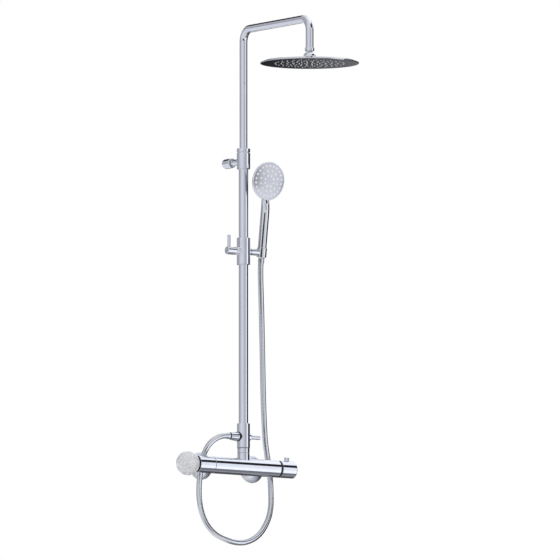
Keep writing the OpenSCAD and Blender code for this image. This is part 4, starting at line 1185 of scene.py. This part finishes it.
def studio_panel(name, turns, rises, light, reach=30.0):
    """A far curved panel that only polished metal sees, between two turns to the camera's right
    and two rises in degrees. Its light is one number, or a graded set of (turn, number)."""
    maker = bmesh.new()
    start = math.radians(-90) - view_turn + math.radians(turns[0])
    arc = []
    for i in range(panel_rows + 1):
        rise = math.radians(rises[0] + (rises[1] - rises[0]) * i / panel_rows)
        flat = reach * math.cos(rise)
        arc.append(maker.verts.new((flat * math.cos(start), flat * math.sin(start), reach * math.sin(rise))))
    edges = [maker.edges.new(pair) for pair in zip(arc, arc[1:])]
    bmesh.ops.spin(
        maker, geom=arc + edges, cent=(0, 0, 0), axis=up, angle=math.radians(turns[1] - turns[0]),
        steps=panel_columns,
    )
    panel_mesh = bpy.data.meshes.new(name)
    maker.to_mesh(panel_mesh)
    maker.free()
    panel = bpy.data.objects.new(name, panel_mesh)
    bpy.context.scene.collection.objects.link(panel)
    glow = bpy.data.materials.new(name)
    glow.use_nodes = True
    nodes = glow.node_tree.nodes
    links = glow.node_tree.links
    nodes.clear()
    lamp = nodes.new("ShaderNodeEmission")
    lamp.inputs["Color"].default_value = (0.95, 0.97, 1.05, 1)
    out = nodes.new("ShaderNodeOutputMaterial")
    links.new(lamp.outputs["Emission"], out.inputs["Surface"])
    if isinstance(light, tuple):
        place = nodes.new("ShaderNodeTexCoord")
        lay = nodes.new("ShaderNodeMapping")
        lay.inputs["Rotation"].default_value = (0, 0, math.radians(90) + view_turn)
        sweep = nodes.new("ShaderNodeTexGradient")
        sweep.gradient_type = "RADIAL"
        grade = nodes.new("ShaderNodeValToRGB")
        stops = grade.color_ramp.elements
        for turn_at, strength in light:
            stop = stops.new(0.5 + turn_at / 360)
            grey = strength / brightest
            stop.color = (grey, grey, grey, 1)
        stops.remove(stops[0])
        stops.remove(stops[len(stops) - 1])
        power = nodes.new("ShaderNodeMath")
        power.operation = "MULTIPLY"
        power.inputs[1].default_value = brightest
        links.new(place.outputs["Object"], lay.inputs["Vector"])
        links.new(lay.outputs["Vector"], sweep.inputs["Vector"])
        links.new(sweep.outputs["Fac"], grade.inputs["Fac"])
        links.new(grade.outputs["Color"], power.inputs[0])
        links.new(power.outputs["Value"], lamp.inputs["Strength"])
    else:
        lamp.inputs["Strength"].default_value = light
    panel_mesh.materials.append(glow)
    panel.visible_camera = False
    panel.visible_diffuse = False
    panel.visible_shadow = False
    panel.visible_transmission = False
    panel.visible_volume_scatter = False


wall_grades = (
    (-179.9, 0.52), (-100, 0.52), (-88, 0.62), (-67, 0.82), (-46, 1.0), (-30, 1.06), (-13, 0.96), (3, 0.88),
    (20, 0.78), (34, 0.60), (49, 0.56),
)
studio_panel("graded_wall", (-179.9, 49), (0.5, 20), wall_grades)
studio_panel("left_foot", (-172, -60), (-60, 0.5), 1.02)
studio_panel("left_cornice", (-174, -137), (20, 40), 0.03)
studio_panel("left_upper", (-137, -60), (22, 60), 0.6)
studio_panel("dark_stand", (-32, 16), (-26, -5), 0.07)
studio_panel("window_top", (49, 88), (10, 21), 1.22)
window_grades = ((49, 0.55), (56, 0.8), (62, 1.3), (72, 1.45), (88, 1.45))
studio_panel("window_middle", (49, 88), (-16, 10), window_grades)
studio_panel("window_foot", (40, 88), (-44, -16), 1.55)
studio_panel("dark_batten", (44, 112), (21, 48), 0.03)
studio_panel("bright_ceiling", (30, 172), (48, 90), 1.45)
studio_panel("bright_cornice", (112, 172), (16, 46), 1.4)
studio_panel("dark_wall", (88, 186), (-25, 16), 0.045)
studio_panel("grey_mat", (40, 118), (-75, -44), 0.27)
studio_panel("pale_mat", (118, 146), (-75, -44), 0.46)
studio_panel("dark_mat", (88, 146), (-44, -25), 0.16)
studio_panel("dark_carpet", (146, 186), (-75, -25), 0.12)
screen_grades = ((174.5, 0.19), (176.4, 0.1), (177.8, 0.025), (179.8, 0.003))
studio_panel("dark_screen", (173.5, 179.9), (4, 14), screen_grades, reach=3.6)
